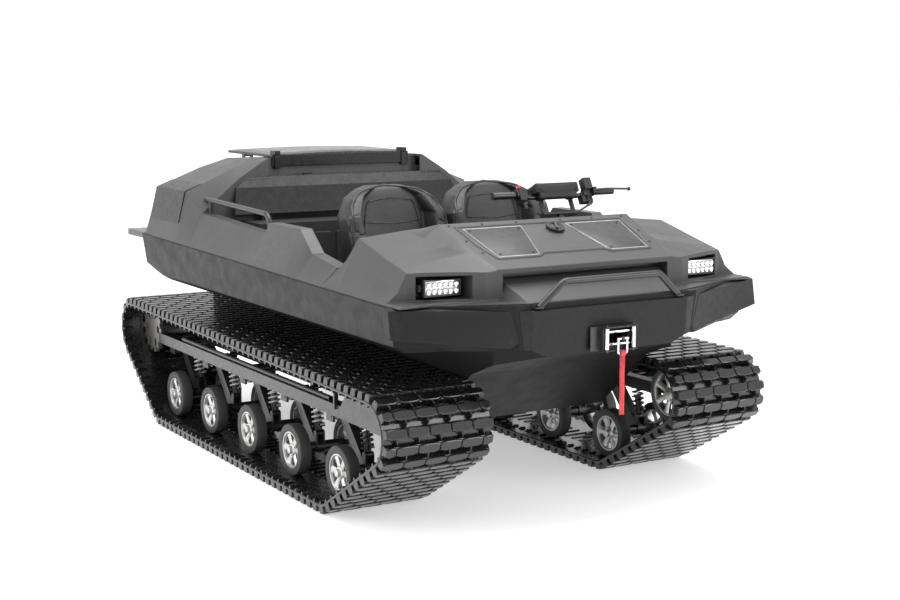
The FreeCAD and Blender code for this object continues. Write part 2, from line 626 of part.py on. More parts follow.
tub = body("tub")
loft(tub, "keel", "YZ_Plane", sections([
    ("keel_rear_x", [("tub_mid_wide", "keel_rear_z"), ("tub_mid_wide", "keel_stern_z")]),
    ("keel_heel_x", [("tub_mid_wide", "tub_low_z"), ("tub_mid_wide", "seam_rear_z - 30")]),
    ("tub_bow_low_x", [("tub_mid_wide", "tub_low_z"), ("tub_mid_wide", "seam_front_z")]),
    ("tub_bow_mid_x", [("tub_mid_wide", "tub_bow_mid_z"), ("tub_mid_wide", "seam_front_z")]),
    ("tub_bow_top_x", [("tub_mid_wide", "tub_bow_top_z"), ("tub_mid_wide", "seam_front_z")]),
    ("tub_nose_x", [("bumper_foot_half", "tub_nose_z"), ("nose_half", "seam_front_z")]),
]))


def sponson(x, low, inner, outer, top):
    return x, [("tub_mid_wide - 10", low), (inner, low), (f"{outer} - 25", f"{low} + 30"), (outer, top)]


loft(tub, "sponsons", "YZ_Plane", sections([
    sponson("stern_x", "sponson_low_z + 54", "stern_half - 40", "stern_half", seam("stern_x")),
    sponson("stern_x + 55", "sponson_low_z + 46", "seam_wide - 75", "seam_wide", seam("stern_x + 55")),
    sponson("chine_x", "sponson_low_z", "seam_wide - 75", "seam_wide", seam("chine_x")),
    sponson("seam_corner_x", "sponson_low_z", "seam_wide - 75", "seam_wide", "seam_front_z"),
    sponson("tub_bow_top_x", "sponson_low_z + 4", "seam_wide - 212", "seam_wide - 137", "seam_front_z"),
    sponson("seam_nose_x", "sponson_low_z + 8", "nose_half + 66", "nose_half + 70", "seam_front_z"),
]))
loft(tub, "well", "YZ_Plane", sections([
    ("keel_rear_x + wall",
     [("tub_mid_wide - wall", "keel_rear_z + 2 * wall"), ("tub_mid_wide - wall", "keel_stern_z - wall")]),
    ("keel_heel_x",
     [("tub_mid_wide - wall", "tub_low_z + wall"), ("tub_mid_wide - wall", "seam_rear_z + 90")]),
    ("tub_bow_low_x - 8",
     [("tub_mid_wide - wall", "tub_low_z + wall"), ("tub_mid_wide - wall", "seam_front_z + 90")]),
    ("tub_bow_mid_x - 10",
     [("tub_mid_wide - wall", "tub_bow_mid_z + wall"), ("tub_mid_wide - wall", "seam_front_z + 90")]),
    ("tub_bow_top_x - 6",
     [("tub_mid_wide - wall", "tub_bow_top_z + wall"), ("tub_mid_wide - wall", "seam_front_z + 90")]),
    ("tub_nose_x - 20",
     [("bumper_foot_half - wall", "tub_nose_z + wall"), ("nose_half - wall", "seam_front_z + 90")]),
]), cut=True)


def sponson_well(x, low, half):
    return x, [("tub_mid_wide - 40", low), (f"{half} - 88", low), (f"{half} - 38", f"{low} + 30"),
               (f"{half} - wall", "seam_rear_z + 90")]


loft(tub, "sponson_wells", "YZ_Plane", sections([
    sponson_well("stern_x + 2 * wall", "sponson_low_z + 70", "stern_half"),
    sponson_well("chine_x", "sponson_low_z + wall", "seam_wide"),
    sponson_well("seam_corner_x", "sponson_low_z + wall", "seam_wide"),
    sponson_well("tub_bow_top_x - 10", "sponson_low_z + wall + 4", "seam_wide - 137"),
]), cut=True)
plinth = cut("plinth", box("plinth_out", (250, "-tub_mid_wide + 20", "tub_low_z + wall"),
                           (760, "tub_mid_wide - 20", "plinth_top_z")),
             box("plinth_in", (262, "-tub_mid_wide + 32", "tub_low_z + wall - 1"),
                 (748, "tub_mid_wide - 32", "plinth_top_z - wall")))
axle_tube = [rod("axle_boss_r", 55, 60, ("sprocket_x", "-tub_mid_wide - 60", "sprocket_z")),
             rod("axle_boss_l", 55, 60, ("sprocket_x", "tub_mid_wide", "sprocket_z"))]
axle_bores = [rod("axle_bore_r", "drive_axle_rad + run", 41, ("sprocket_x", -541, "sprocket_z")),
              rod("axle_bore_l", "drive_axle_rad + run", 41, ("sprocket_x", 500, "sprocket_z"))]
nose_window = box("nose_window", ("tub_nose_x - 40", "winch_y - window_half", "winch_z - window_tall / 2"),
                  ("tub_nose_x + 10", "winch_y + window_half", "winch_z + window_tall / 2"))
node("hull_tub", cut("hull_tub", fuse("hull_solid", [tub, plinth] + axle_tube),
                     fuse("hull_bores", axle_bores + [nose_window])))

# ---------------------------------------------------------------------------------------------
# Deck shell: hood and lamp pods, nose, side sills, cabin shelves and the rear housing
# ---------------------------------------------------------------------------------------------
def hood(x):
    """Height of the hood's sloping top at x."""
    return f"dash_z - (({x}) - dash_x) * (dash_z - hood_front_z) / (hood_front_x - dash_x)"


cowl = body("cowl")
loft(cowl, "cowl_skin", "YZ_Plane", sections([
    ("cowl_rear_x", [("seam_wide - 3", seam("cowl_rear_x")), (872, 1066), ("pod_half", 1078),
                     ("pod_in_half", 1079), ("dash_half", "sill_front_z")]),
    ("pod_rear_x", [("seam_wide - 3", seam("pod_rear_x")), (880, 1120), ("pod_half", "pod_rear_z"),
                    ("pod_in_half", "pod_in_z"), ("dash_half", 1250)]),
    ("dash_x", [("seam_wide - 3", seam("dash_x")), (882, 1100), ("pod_half + 1", 1189),
                ("pod_in_half - 15", 1223), ("dash_half", "dash_z")]),
    ("crease_x", [("seam_wide - 3", seam("crease_x")), (880, 1080), ("pod_half + 2", "crease_z - 4"),
                  (552, 1192), (501, hood("crease_x"))]),
    ("crease_x + 120", [("seam_wide - 4", seam("crease_x + 120")), (878, 1050), ("pod_half + 1", 1130),
                        (522, 1178), (486, hood("crease_x + 120"))]),
    ("hood_front_x", [("seam_wide - 10", "seam_front_z"), (876, 1020), ("pod_half", 1088), (474, 1117),
                      ("hood_front_half", "hood_front_z")]),
]))
loft(cowl, "cowl_hollow", "YZ_Plane", sections([
    ("cowl_rear_x - 1", [("seam_wide - 30", "seam_front_z - 20"), (848, 1046), ("pod_half - 22", 1058),
                         ("pod_in_half", 1059), ("dash_half - 16", 1060)]),
    ("pod_rear_x + 4",
     [("seam_wide - 30", "seam_front_z - 20"), (862, 1100), ("pod_half - 16", "pod_rear_z - 24"),
      ("pod_in_half", "pod_in_z - 22"), ("dash_half - 16", 1228)]),
    ("dash_x", [("seam_wide - 30", "seam_front_z - 20"), (862, 1080), ("pod_half - 16", 1168),
                ("pod_in_half - 22", 1202), ("dash_half - 14", "dash_z - 18")]),
    ("crease_x", [("seam_wide - 30", "seam_front_z - 20"), (862, 1062), ("pod_half - 16", 1136),
                  (548, 1170), (490, hood("crease_x") + " - 18")]),
    ("crease_x + 100", [("seam_wide - 30", "seam_front_z - 20"), (860, 1036), ("pod_half - 18", 1112),
                        (526, 1158), (478, hood("crease_x + 100") + " - 18")]),
]), cut=True)
lamp_recess_low, lamp_recess_high = "lamp_y - lamp_half - 22", "lamp_y + lamp_half + 20"
sweep = []
for side, sign in (("r", "-"), ("l", "")):
    wedge = body("sweep_" + side)
    pad(wedge, sketch(wedge, "sweep_plan_" + side, "XY_Plane", [
        ("1424", f"{sign}838"), ("1539.5", f"{sign}520"), ("1700", f"{sign}520"), ("1700", f"{sign}1000"),
        ("1424", f"{sign}1000"),
    ], "seam_front_z + 10"), "200")
    sweep.append(wedge)
    low, high = (f"-({lamp_recess_high})", f"-({lamp_recess_low})") if sign else (lamp_recess_low,
                                                                                  lamp_recess_high)
    sweep.append(box("recess_" + side, ("lamp_x - 70", low, "lamp_z - 48"),
                     ("lamp_x + 200", high, "lamp_z + 50")))
sweep.append(box("footwell", ("cowl_rear_x - 10", "-dash_half + 11", "seam_front_z + 6"),
                 ("dash_x - 12", "dash_half - 11", "dash_z + 20")))
sweep.append(box("nose_scoop", ("hood_front_x - nose_recess", "-hood_front_half + 26", "seam_front_z + 8"),
                 ("hood_front_x + 20", "hood_front_half - 26", "hood_front_z - 22")))
cap_tilt = math.degrees(math.atan2(value("dash_z - hood_front_z"), value("hood_front_x - dash_x")))


def on_hood(made, lift):
    """Sets a piece drawn along +Z square on the hood at the filler."""
    made.Placement = FreeCAD.Placement(Vector(), Rotation(Vector(0, 1, 0), cap_tilt))
    slope = math.radians(cap_tilt)
    return place(made, f"cap_x + {lift * math.sin(slope)}", "cap_y",
                 f"{hood('cap_x')} + {lift * math.cos(slope)}")


filler_hole = doc.addObject("Part::Cylinder", "filler_hole")
bind(filler_hole, Radius="20.5", Height="60")
sweep.append(on_hood(filler_hole, -40))
cowl_cut = cut("cowl_cut", cowl, fuse("cowl_cuts", sweep))

nose = body("nose")
loft(nose, "nose_panel", "YZ_Plane", sections([
    ("hood_front_x - nose_recess - 14",
     [("hood_front_half + 16", "seam_front_z"), ("hood_front_half - 20", "seam_front_z + 92")]),
    ("hood_front_x - nose_recess + 30",
     [("hood_front_half + 12", "seam_front_z"), ("hood_front_half - 40", "seam_front_z + 84")]),
    ("nose_front_x", [("nose_half - 4", "seam_front_z - 8"), ("nose_half - 16", "seam_front_z - 2")]),
]))
ledge = body("nose_ledge")
pad(ledge, sketch(ledge, "ledge_plan", "XY_Plane", [
    ("1380", "-940"), ("seam_corner_x", "-944"), ("nose_front_x", "-nose_half"),
    ("nose_front_x", "nose_half"), ("seam_corner_x", "944"), ("1380", "940"),
], "seam_front_z - 12"), "wall + 4")


def sill(x, top):
    return x, [("sill_in", seam(x)), ("seam_wide - 3", seam(x)), ("sill_top_half", top), ("sill_in", top)]


def sill_hollow(x, top):
    return x, [("sill_in + wall", f"{seam(x)} - 2"), ("seam_wide - 22", f"{seam(x)} - 2"),
               ("sill_top_half - wall", f"{top} - wall"), ("sill_in + wall", f"{top} - wall")]


SILL = [("sill_rear_x", "sill_rear_z"), ("sill_mid_x", "sill_mid_z"), ("block_rear_x - 45", "sill_mid_z"),
        ("block_rear_x", "block_z"), ("block_front_x", "block_z"), ("dip_x", "dip_z"),
        ("cowl_rear_x", "sill_front_z")]
sill_left = body("sill_left")
loft(sill_left, "sill_skin", "YZ_Plane", [sill(x, top) for x, top in SILL])
loft(sill_left, "sill_core", "YZ_Plane", [sill_hollow(x, top) for x, top in SILL], cut=True)
sill_holes = fuse("sill_holes",
                  [rod(f"sill_hole_{n}", "rail_hole_rad", 40, (x, "rail_hole_y", "block_z - 30"), "z")
                                 for n, x in enumerate(("block_rear_x + 60", "block_front_x - 60"))])
sill_l = cut("sill_l", sill_left, sill_holes)
shelf_l = fuse("shelf_l", [
    box("shelf_floor", (-800, "tub_mid_wide - 12", "shelf_z"),
        ("cowl_rear_x", "sill_in + wall", "shelf_z + wall")),
    box("shelf_wall", (-800, "sill_in", "shelf_z"), ("cowl_rear_x", "sill_in + wall", 1012)),
])
pod_wall = body("pod_wall")
pad(pod_wall, sketch(pod_wall, "pod_wall_side", "XZ_Plane", [
    ("cowl_rear_x + 6", "seam_front_z + 2"), ("cowl_rear_x + 6", "sill_front_z - 6"),
    ("pod_rear_x + 4", 1232),
    ("dash_x - 2", "dash_z - 22"), ("dash_x - 2", "seam_front_z + 2"),
], "-dash_half + 11"), "wall", backwards=True)
firewall = box("firewall", ("dash_x - 12", "-dash_half + 11", 850),
               ("dash_x", "dash_half - 11", "dash_z - 16"))
lamp_brackets = []
for number, y in enumerate(("lamp_y - lamp_half - 8", "lamp_y + lamp_half + 4")):
    plate = box(f"bracket_{number}", ("lamp_x - 74", y, "lamp_z - 14"),
                ("lamp_x + 12", f"{y} + 4", "lamp_z + 14"))
    hole = rod(f"bracket_hole_{number}", "6 + run", 6, ("lamp_x", f"{y} - 1", "lamp_z"))
    lamp_brackets.append(cut(f"lamp_bracket_{number}", plate, hole))
left_parts = fuse("left_parts", [sill_l, shelf_l, pod_wall] + lamp_brackets)

housing = body("housing")
HOUSE = [
    ("house_rear_x", [("seam_wide - 8", seam("house_rear_x")), ("seam_wide - 40", "house_rear_z - 6"),
                      ("house_mid_half", "house_rear_z"), ("house_top_half", "house_rear_z + 2")]),
    ("house_top_rear_x", [("seam_wide - 3", seam("house_top_rear_x")), ("house_edge_half", "house_edge_z"),
                          ("house_mid_half", "house_mid_z"), ("house_top_half", "house_top_z")]),
    ("house_pillar_x", [("seam_wide - 3", seam("house_pillar_x")), ("house_edge_half", "house_edge_z"),
                        ("house_mid_half", "house_mid_z + 8"), ("house_front_half", "house_front_z")]),
    ("house_front_x", [("seam_wide - 3", seam("house_front_x")), ("sill_top_half", "sill_rear_z"),
                       ("house_mid_half + 20", "house_mid_z - 20"), ("house_front_half", "house_front_z")]),
]
loft(housing, "housing_skin", "YZ_Plane", sections(HOUSE))
loft(housing, "housing_hollow", "YZ_Plane", sections([
    ("house_top_rear_x + 8",
     [("seam_wide - 28", "seam_front_z"), ("house_edge_half - 20", "house_edge_z - 24"),
      ("house_mid_half - 8", "house_mid_z - 18"), ("house_top_half - 8", "house_top_z - 14")]),
    ("house_pillar_x", [("seam_wide - 28", "seam_front_z"), ("house_edge_half - 20", "house_edge_z - 24"),
                        ("house_mid_half - 8", "house_mid_z - 12"),
                        ("house_front_half - 10", "house_front_z - 16")]),
    ("house_front_x - wall",
     [("seam_wide - 28", "seam_front_z"), ("sill_top_half - 20", "sill_rear_z - 20"),
      ("house_mid_half + 6", "house_mid_z - 42"), ("house_front_half - 10", "house_front_z - 16")]),
]), cut=True)
bay = [
    box("bay_mouth", ("bay_rear_x", "-bay_half", "house_rear_z + 100"),
        ("bay_front_x", "bay_half", "house_front_z + 40")),
    box("front_recess", ("lid_front_x", "-house_front_half + 14", "shelf_z"),
        ("house_front_x + 20", "house_front_half - 14", "house_front_z + 40")),
]
front_wall = box("front_wall", ("bay_front_x + 2", "-house_front_half - 60", "shelf_z"),
                 ("lid_front_x", "house_front_half + 60", "house_front_z - 66"))
front_lintel = box("front_lintel", ("bay_front_x + 2", "-house_front_half + 6", "house_front_z - 70"),
                   ("lid_front_x", "house_front_half - 6", "house_front_z - 10"))
aft_deck = box("aft_deck", ("keel_rear_x", "-stern_half + 20", "seam_rear_z + gap"),
               ("house_rear_x + 20", "stern_half - 20", "seam_rear_z + wall"))
hinge_plates = [box(f"hinge_plate_{n}", ("hinge_x - 9", y, "hinge_z - 40"),
                    ("hinge_x + 30", f"{y} + 5", "hinge_z + 8"))
                for n, y in enumerate((-346, -298, 293, 341))]
hinge_pins = [rod(f"hinge_pin_{n}", 5, 53, ("hinge_x", y, "hinge_z")) for n, y in enumerate((-346, 293))]
housing_cut = cut("housing_cut", housing, fuse("bay_cuts", bay))
deck_solid = fuse("deck_solid", [
    cowl_cut, nose, ledge, firewall, left_parts, mirror("right_parts", left_parts), housing_cut,
    front_wall, front_lintel, aft_deck,
] + hinge_plates + hinge_pins)
node("deck_shell", trimmed(deck_solid, "hull_tub"))
# ---------------------------------------------------------------------------------------------
# Bumper, bull bar and winch
# ---------------------------------------------------------------------------------------------
def mirrored_rows(rows):
    """Stations for the whole width from those of the left half, given from the middle outwards."""
    return [(f"-({y})", quad) for y, quad in reversed(rows)] + rows


def plate_quad(x_low, z_low, x_top, z_top):
    """Section of an upright plate: its lower edge, its upper edge and its thickness behind them."""
    return [(f"{x_low} - bumper_thick", z_low), (x_low, z_low), (x_top, z_top),
            (f"{x_top} - bumper_thick", z_top)]


bumper = body("bumper")
# stations of the front plate go along Y, so their sketches lie on the XZ plane, whose normal is -Y
BUMPER = mirrored_rows([
    ("bumper_foot_half", plate_quad("bumper_x - 14", "bumper_foot_z", "bumper_x", "bumper_top_z")),
    ("bumper_half", plate_quad("bumper_x - 10", "bumper_low_z - 12", "bumper_x", "bumper_top_z")),
    ("wing_out_y", plate_quad("wing_out_low_x", "wing_out_low_z", "wing_out_x", "wing_out_top_z")),
])
loft(bumper, "bumper_plate", "XZ_Plane", [(f"-({y})", quad) for y, quad in BUMPER])
LIP = mirrored_rows([
    (y, [(f"{x} - lip_long", f"{z} + lip_rise - 5"), (f"{x} - 1", f"{z} - 5"), (f"{x} - 1", z),
         (f"{x} - lip_long", f"{z} + lip_rise")])
    for y, x, z in (("bumper_half", "bumper_x", "bumper_top_z"),
                    ("wing_out_y", "wing_out_x", "wing_out_top_z"))
])
loft(bumper, "bumper_lip", "XZ_Plane", [(f"-({y})", quad) for y, quad in LIP])
stays = []
for number, y in enumerate(("-bumper_foot_half + 20", "bumper_foot_half - 26")):
    stays.append(box(f"bumper_stay_{number}", ("tub_nose_x", y, "bumper_low_z + 20"),
                     ("bumper_x - bumper_thick - 6", f"{y} + 6", "bumper_top_z - 10")))
rope_window = box("rope_window", ("bumper_x - 30", "winch_y - window_half", "winch_z - window_tall / 2"),
                  ("bumper_x + 10", "winch_y + window_half", "winch_z + window_tall / 2"))
wing_ends = []
for side, sign in (("r", "-"), ("l", "")):
    low = f"{sign}wing_out_y" if sign else "wing_out_y - 5"
    end = body("wing_end_" + side)
    pad(end, sketch(end, "wing_end_side_" + side, "XZ_Plane", [
        ("wing_out_x - lip_long", "wing_out_top_z + lip_rise - 4"),
        ("wing_out_x - 1", "wing_out_top_z - 1"),
        ("wing_out_low_x - 1", "wing_out_low_z"), ("wing_out_x - lip_long + 10", "wing_out_low_z + 30"),
    ], f"-({low})"), "5", backwards=True)
    wing_ends.append(end)
front_bumper = cut("front_bumper", fuse("bumper_solid", [bumper] + stays + wing_ends), rope_window)
node("front_bumper", trimmed(front_bumper, "hull_tub", "deck_shell"))

bull_bar = bent_tube("bull_bar_tube", [
    ("bar_x", "-bar_foot_y", "bar_foot_z + lip_rise"), ("bar_x + 12", "-bar_knee_y", "bar_knee_z"),
    ("bar_x + 12", "bar_knee_y", "bar_knee_z"), ("bar_x", "bar_foot_y", "bar_foot_z + lip_rise"),
], "bar_rad", "bar_bend")
bar_feet = [rod(f"bar_foot_{n}", "bar_rad + 10", 5, ("bar_x", y, "bar_foot_z + lip_rise - 1"), "z")
            for n, y in enumerate(("-bar_foot_y", "bar_foot_y"))]
node("bull_bar", trimmed(fuse("bull_bar", [bull_bar] + bar_feet), "hull_tub", "deck_shell", "front_bumper"))

WINCH_X, ROPE_X = "tub_nose_x - 100", "half_long - 6"
node("winch", fuse("winch", [
    rod("winch_drum", "winch_rad - 12", "2 * winch_half",
        (WINCH_X, "winch_y - winch_half", "winch_z + 18")),
    rod("winch_motor", "winch_rad", "winch_half - 60", (WINCH_X, "winch_y - winch_half", "winch_z + 18")),
    rod("winch_gears", "winch_rad", "winch_half - 60", (WINCH_X, "winch_y + 60", "winch_z + 18")),
    box("winch_bed", (f"{WINCH_X} - 50", "winch_y - winch_half + 5", "winch_z - 38"),
        (f"{WINCH_X} + 50", "winch_y + winch_half - 5", "winch_z - 26")),
    rod("winch_rope", 4, f"{ROPE_X} - ({WINCH_X}) - 8", (WINCH_X, "winch_y", "winch_z"), "x"),
    ring("rope_eye", 10, "pin_rad + run", 9, (ROPE_X, "winch_y - 4.5", "winch_z")),
]))

FACE_X = "bumper_x + plate_thick"
fairlead_body = cut("fairlead_body", fuse("fairlead_solid", [
    box("fairlead_plate", ("bumper_x", "winch_y - plate_half - 34", "winch_z - plate_tall / 2"),
        (FACE_X, "winch_y + plate_half", "winch_z + plate_tall / 2")),
    box("fairlead_top", (FACE_X, "winch_y - 86", "winch_z + plate_tall / 2 - 5"),
        ("half_long - 12", "winch_y + 86", "winch_z + plate_tall / 2")),
    box("fairlead_low", (FACE_X, "winch_y - 86", "winch_z - plate_tall / 2"),
        ("half_long - 12", "winch_y + 86", "winch_z - plate_tall / 2 + 5")),
    box("fairlead_side_r", (FACE_X, "winch_y - 88", "winch_z - 47"),
        (f"{FACE_X} + 26", "winch_y - 84", "winch_z + 47")),
    box("fairlead_side_l", (FACE_X, "winch_y + 84", "winch_z - 47"),
        (f"{FACE_X} + 26", "winch_y + 88", "winch_z + 47")),
]), box("fairlead_window", ("bumper_x - 1", "winch_y - window_half", "winch_z - window_tall / 2"),
        (f"{FACE_X} + 1", "winch_y + window_half", "winch_z + window_tall / 2")))
pins = []
for side, y in (("left", "winch_y + roller_y"), ("right", "winch_y - roller_y")):
    pins.append(rod(f"pin_{side}", "pin_rad - 1", "plate_tall + 16",
                    (f"{FACE_X} + roller_reach", y, "winch_z - plate_tall / 2 - 8"), "z"))
    for end, z in (("top", "winch_z + plate_tall / 2"), ("low", "winch_z - plate_tall / 2 - 5")):
        pins.append(rod(f"nut_{side}_{end}", "pin_rad + 2", 5, (f"{FACE_X} + roller_reach", y, z), "z"))
    node(f"fairlead_roller_{side}",
         ring(f"roller_{side}", "roller_rad", "pin_rad - 1 + run", "plate_tall - 14",
                                         (f"{FACE_X} + roller_reach", y, "winch_z - plate_tall / 2 + 7"),
                                         "z"))
for side, z in (("upper", "winch_z + roller_z"), ("lower", "winch_z - roller_z")):
    pins.append(rod(f"pin_{side}", "pin_rad - 1", 176, (f"{FACE_X} + 14", "winch_y - 88", z)))
    node(f"fairlead_roller_{side}", ring(f"roller_{side}", "roller_rad - 2", "pin_rad - 1 + run", 112,
                                         (f"{FACE_X} + 14", "winch_y - 56", z)))
node("fairlead_frame", fuse("fairlead_frame", [fairlead_body] + pins))

HOOK_HALF, HOOK_WIRE = 23, 5.5
hook_bow = bent_tube("hook_bow", [
    (ROPE_X, f"winch_y - {HOOK_HALF}", "winch_z"),
    (ROPE_X, f"winch_y - {HOOK_HALF}", "winch_z - hook_drop"),
    (ROPE_X, f"winch_y + {HOOK_HALF}", "winch_z - hook_drop"),
    (ROPE_X, f"winch_y + {HOOK_HALF}", "winch_z"),
], HOOK_WIRE, 8)
node("winch_hook", fuse("winch_hook", [
    hook_bow, rod("hook_pin", "pin_rad", 2 * HOOK_HALF + 14,
                  (ROPE_X, f"winch_y - {HOOK_HALF} - 7", "winch_z")),
]))
strap_loop = ring("strap_loop", HOOK_WIRE + 0.4 + 2.5, HOOK_WIRE + 0.4, "strap_wide",
                  (ROPE_X, "winch_y - strap_wide / 2", "winch_z - hook_drop"))
node("hook_strap", fuse("hook_strap", [
    strap_loop,
    box("strap_fall", (f"{ROPE_X} - strap_thick / 2", "winch_y - strap_wide / 2", "strap_low_z"),
        (f"{ROPE_X} + strap_thick / 2", "winch_y + strap_wide / 2", "winch_z - hook_drop - 7")),
]))

# ---------------------------------------------------------------------------------------------
# Light bars, service covers and filler cap
# ---------------------------------------------------------------------------------------------
lamp = fuse("lamp", [
    box("lamp_case", ("lamp_x - lamp_deep / 2", "lamp_y - lamp_half + 6", "lamp_z - lamp_tall / 2"),
        ("lamp_x + lamp_deep / 2 - 4", "lamp_y + lamp_half - 6", "lamp_z + lamp_tall / 2")),
    box("lamp_bezel", ("lamp_x + lamp_deep / 2 - 8", "lamp_y - lamp_half + 2", "lamp_z - lamp_tall / 2"),
        ("lamp_x + lamp_deep / 2", "lamp_y + lamp_half - 2", "lamp_z + lamp_tall / 2")),
    rod("lamp_pins", 6, "2 * lamp_half + 14", ("lamp_x", "lamp_y - lamp_half - 7", "lamp_z")),
])
lamp_fins = [box(f"lamp_fin_{n}", ("lamp_x - lamp_deep / 2 - 10", f"lamp_y - 72 + {n * 24}", "lamp_z - 26"),
                 ("lamp_x - lamp_deep / 2 + 1", f"lamp_y - 68 + {n * 24}",
                  "lamp_z + 26")) for n in range(7)]
headlight = fuse("headlight", [lamp] + lamp_fins)
node("headlight_left", headlight)
node("headlight_right", mirror("headlight_right", headlight))

cover = body("cover")
loft(cover, "cover_plate", "YZ_Plane", [
    (x, [(low, hood(x)), (high, hood(x)), (high, f"{hood(x)} + cover_thick"),
         (low, f"{hood(x)} + cover_thick")])
    for x, low, high in (("dash_x + 62", "122", "dash_half - 92"),
                         ("hood_front_x - 96", "190", "hood_front_half - 66"))
])
screws = []
for x, y in (("dash_x + 78", "142"), ("dash_x + 78", "dash_half - 112"), ("hood_front_x - 112", "212"),
             ("hood_front_x - 112", "hood_front_half - 88")):
    screws.append(rod(f"cover_screw_{len(screws)}", 7, 8, (x, y, hood(x)), "z"))
cover_left = fuse("cover_left", [cover] + screws)
node("service_covers", trimmed(group("service_covers", [cover_left, mirror("cover_right", cover_left)]),
                               "deck_shell"))

cap = fuse("cap", [
    rod("cap_lid", "cap_rad", "cap_tall", (0, 0, 0), "z"), rod("cap_neck", "20", 14, (0, 0, -13), "z"),
    box("cap_grip", ("-cap_rad + 8", -7, "cap_tall - 1"), ("cap_rad - 8", 7, "cap_tall + 8")),
])
node("fuel_cap", on_hood(group("fuel_cap", [cap]), 0.8))

# ---------------------------------------------------------------------------------------------
# Steering. The moving parts are drawn about the top of the column, then leaned back with it
# ---------------------------------------------------------------------------------------------
def on_column(label, parts):
    """Parts drawn with +Z up the column and the clamp at the origin, set in place."""
    made = group(label, parts)
    made.Placement = FreeCAD.Placement(Vector(), Rotation(Vector(0, 1, 0), -value("steer_rake")))
    return node(label, place(made, "steer_x", "steer_y", "steer_z"))


on_column("steering_column", [fuse("column", [
    ring("column_tube", "column_rad", "12 + run", "column_long - 100", (0, 0, "-column_long"), "z"),
    rod("column_plug", "column_rad", 20, (0, 0, "-column_long - 16"), "z"),
])])

GRIP_LOW = "bar_half - grip_long"
bar_tube = bent_tube("bar_tube", [
    (0, "-bar_half", 22), (0, -196, 22), (0, -140, 6), (0, 140, 6), (0, 196, 22), (0, "bar_half", 22),
], "handlebar_rad", 30)
bar_parts = [
    bar_tube,
    rod("shaft", 12, 172, (0, 0, -260), "z"),
    box("yoke", (-19, "-riser_half - 16", -90), (19, "riser_half + 16", -78)),
    rod("grip_right", "grip_rad", "grip_long", (0, "-bar_half - 2", 22)),
    rod("grip_left", "grip_rad", "grip_long", (0, f"{GRIP_LOW} + 2", 22)),
    rod("throttle_barrel", 27, 46, (0, -220, 22)),
    box("throttle_body", (-22, -212, -14), (30, -178, 44)),
    rod("brake_clamp", 16, 34, (0, 176, 22)),
    box("reservoir", (4, 160, 24), (44, 204, 80)),
    box("brake_body", (2, 158, -2), (24, 224, 30)),
    box("brake_ear_low", (22, 200, -2), (46, 224, 5)),
    box("brake_ear_high", (22, 206, 23), (46, 224, 30)),
    box("light_switch", (-20, 146, -34), (16, 206, 10)),
]
for side, y in (("r", "-riser_half"), ("l", "riser_half")):
    bar_parts.append(rod("riser_" + side, "riser_rad", 88, (0, y, -80), "z"))
    bar_parts.append(rod("clamp_" + side, 18, 30, (0, f"{y} - 15", 6)))
for number, y in enumerate((176, 192)):
    wire = bent_tube(f"brake_wire_{number}", [(22, y, 0), (30, y + 4, -46), (8, 96, -84)], 3.5, 26)
    bar_parts.append(wire)
on_column("handlebar", [cut("handlebar_solid", fuse("bar_solid", bar_parts),
                            rod("kill_bore", "6 + run", 22, (4, -195, 34), "z"))])

pad_block = fuse("pad_block", [
    box("pad_top", (-42, -128, 14), (46, 128, 66)), box("pad_front", (20, -112, -22), (44, 112, 20)),
])
pad_channel = fuse("pad_channel",
                   [rod("pad_bore", 20, 260, (0, -130, 6)),
                    box("pad_slot", (-20, -104, -30), (19, 104, 8))])
on_column("handlebar_pad", [cut("pad_solid", pad_block, pad_channel)])

lever_line = bent_tube("lever_line", [(38, 214, 14), (52, 262, 14), (50, 330, 12), (40, 418, 12)], 5.5, 60)
lever_pivot = rod("lever_pivot", 9, 16, (38, 214, 6), "z")
lever_ball = place(bind(doc.addObject("Part::Sphere", "lever_ball"), Radius="10"), 40, 418, 12)
on_column("brake_lever", [fuse("brake_lever_solid", [lever_line, lever_pivot, lever_ball])])
on_column("throttle_lever", [fuse("throttle_lever_solid", [
    box("thumb_tab", (10, -196, -54), (17, -178, -18)), rod("thumb_hub", 8, 22, (12, -198, -26)),
])])
on_column("kill_button",
          [fuse("kill_button_solid",
                [rod("kill_head", 11, 12, (4, -195, 54), "z"),
                 rod("kill_stem", 6, 15, (4, -195, 40), "z")])])

# ---------------------------------------------------------------------------------------------
# Seats
# ---------------------------------------------------------------------------------------------
def seat_slice(z, half, wing, thick="seat_back_thick"):
    """A horizontal slice of the bucket: a U that opens forwards, leaned with the back."""
    rear = f"seat_back_x + (seat_top_z - ({z})) * tan(seat_rake) - 12"
    front, inner = f"{rear} + ({thick})", f"{half} - 62"
    corners = [("0", f"{inner} - 24"), (wing, inner), (wing, half), (f"0 - ({thick})", f"{half} - 8")]
    half_outline = [(f"{front} + ({dx})", y) for dx, y in corners]
    return z, half_outline + [(x, f"-({y})") for x, y in reversed(half_outline)]


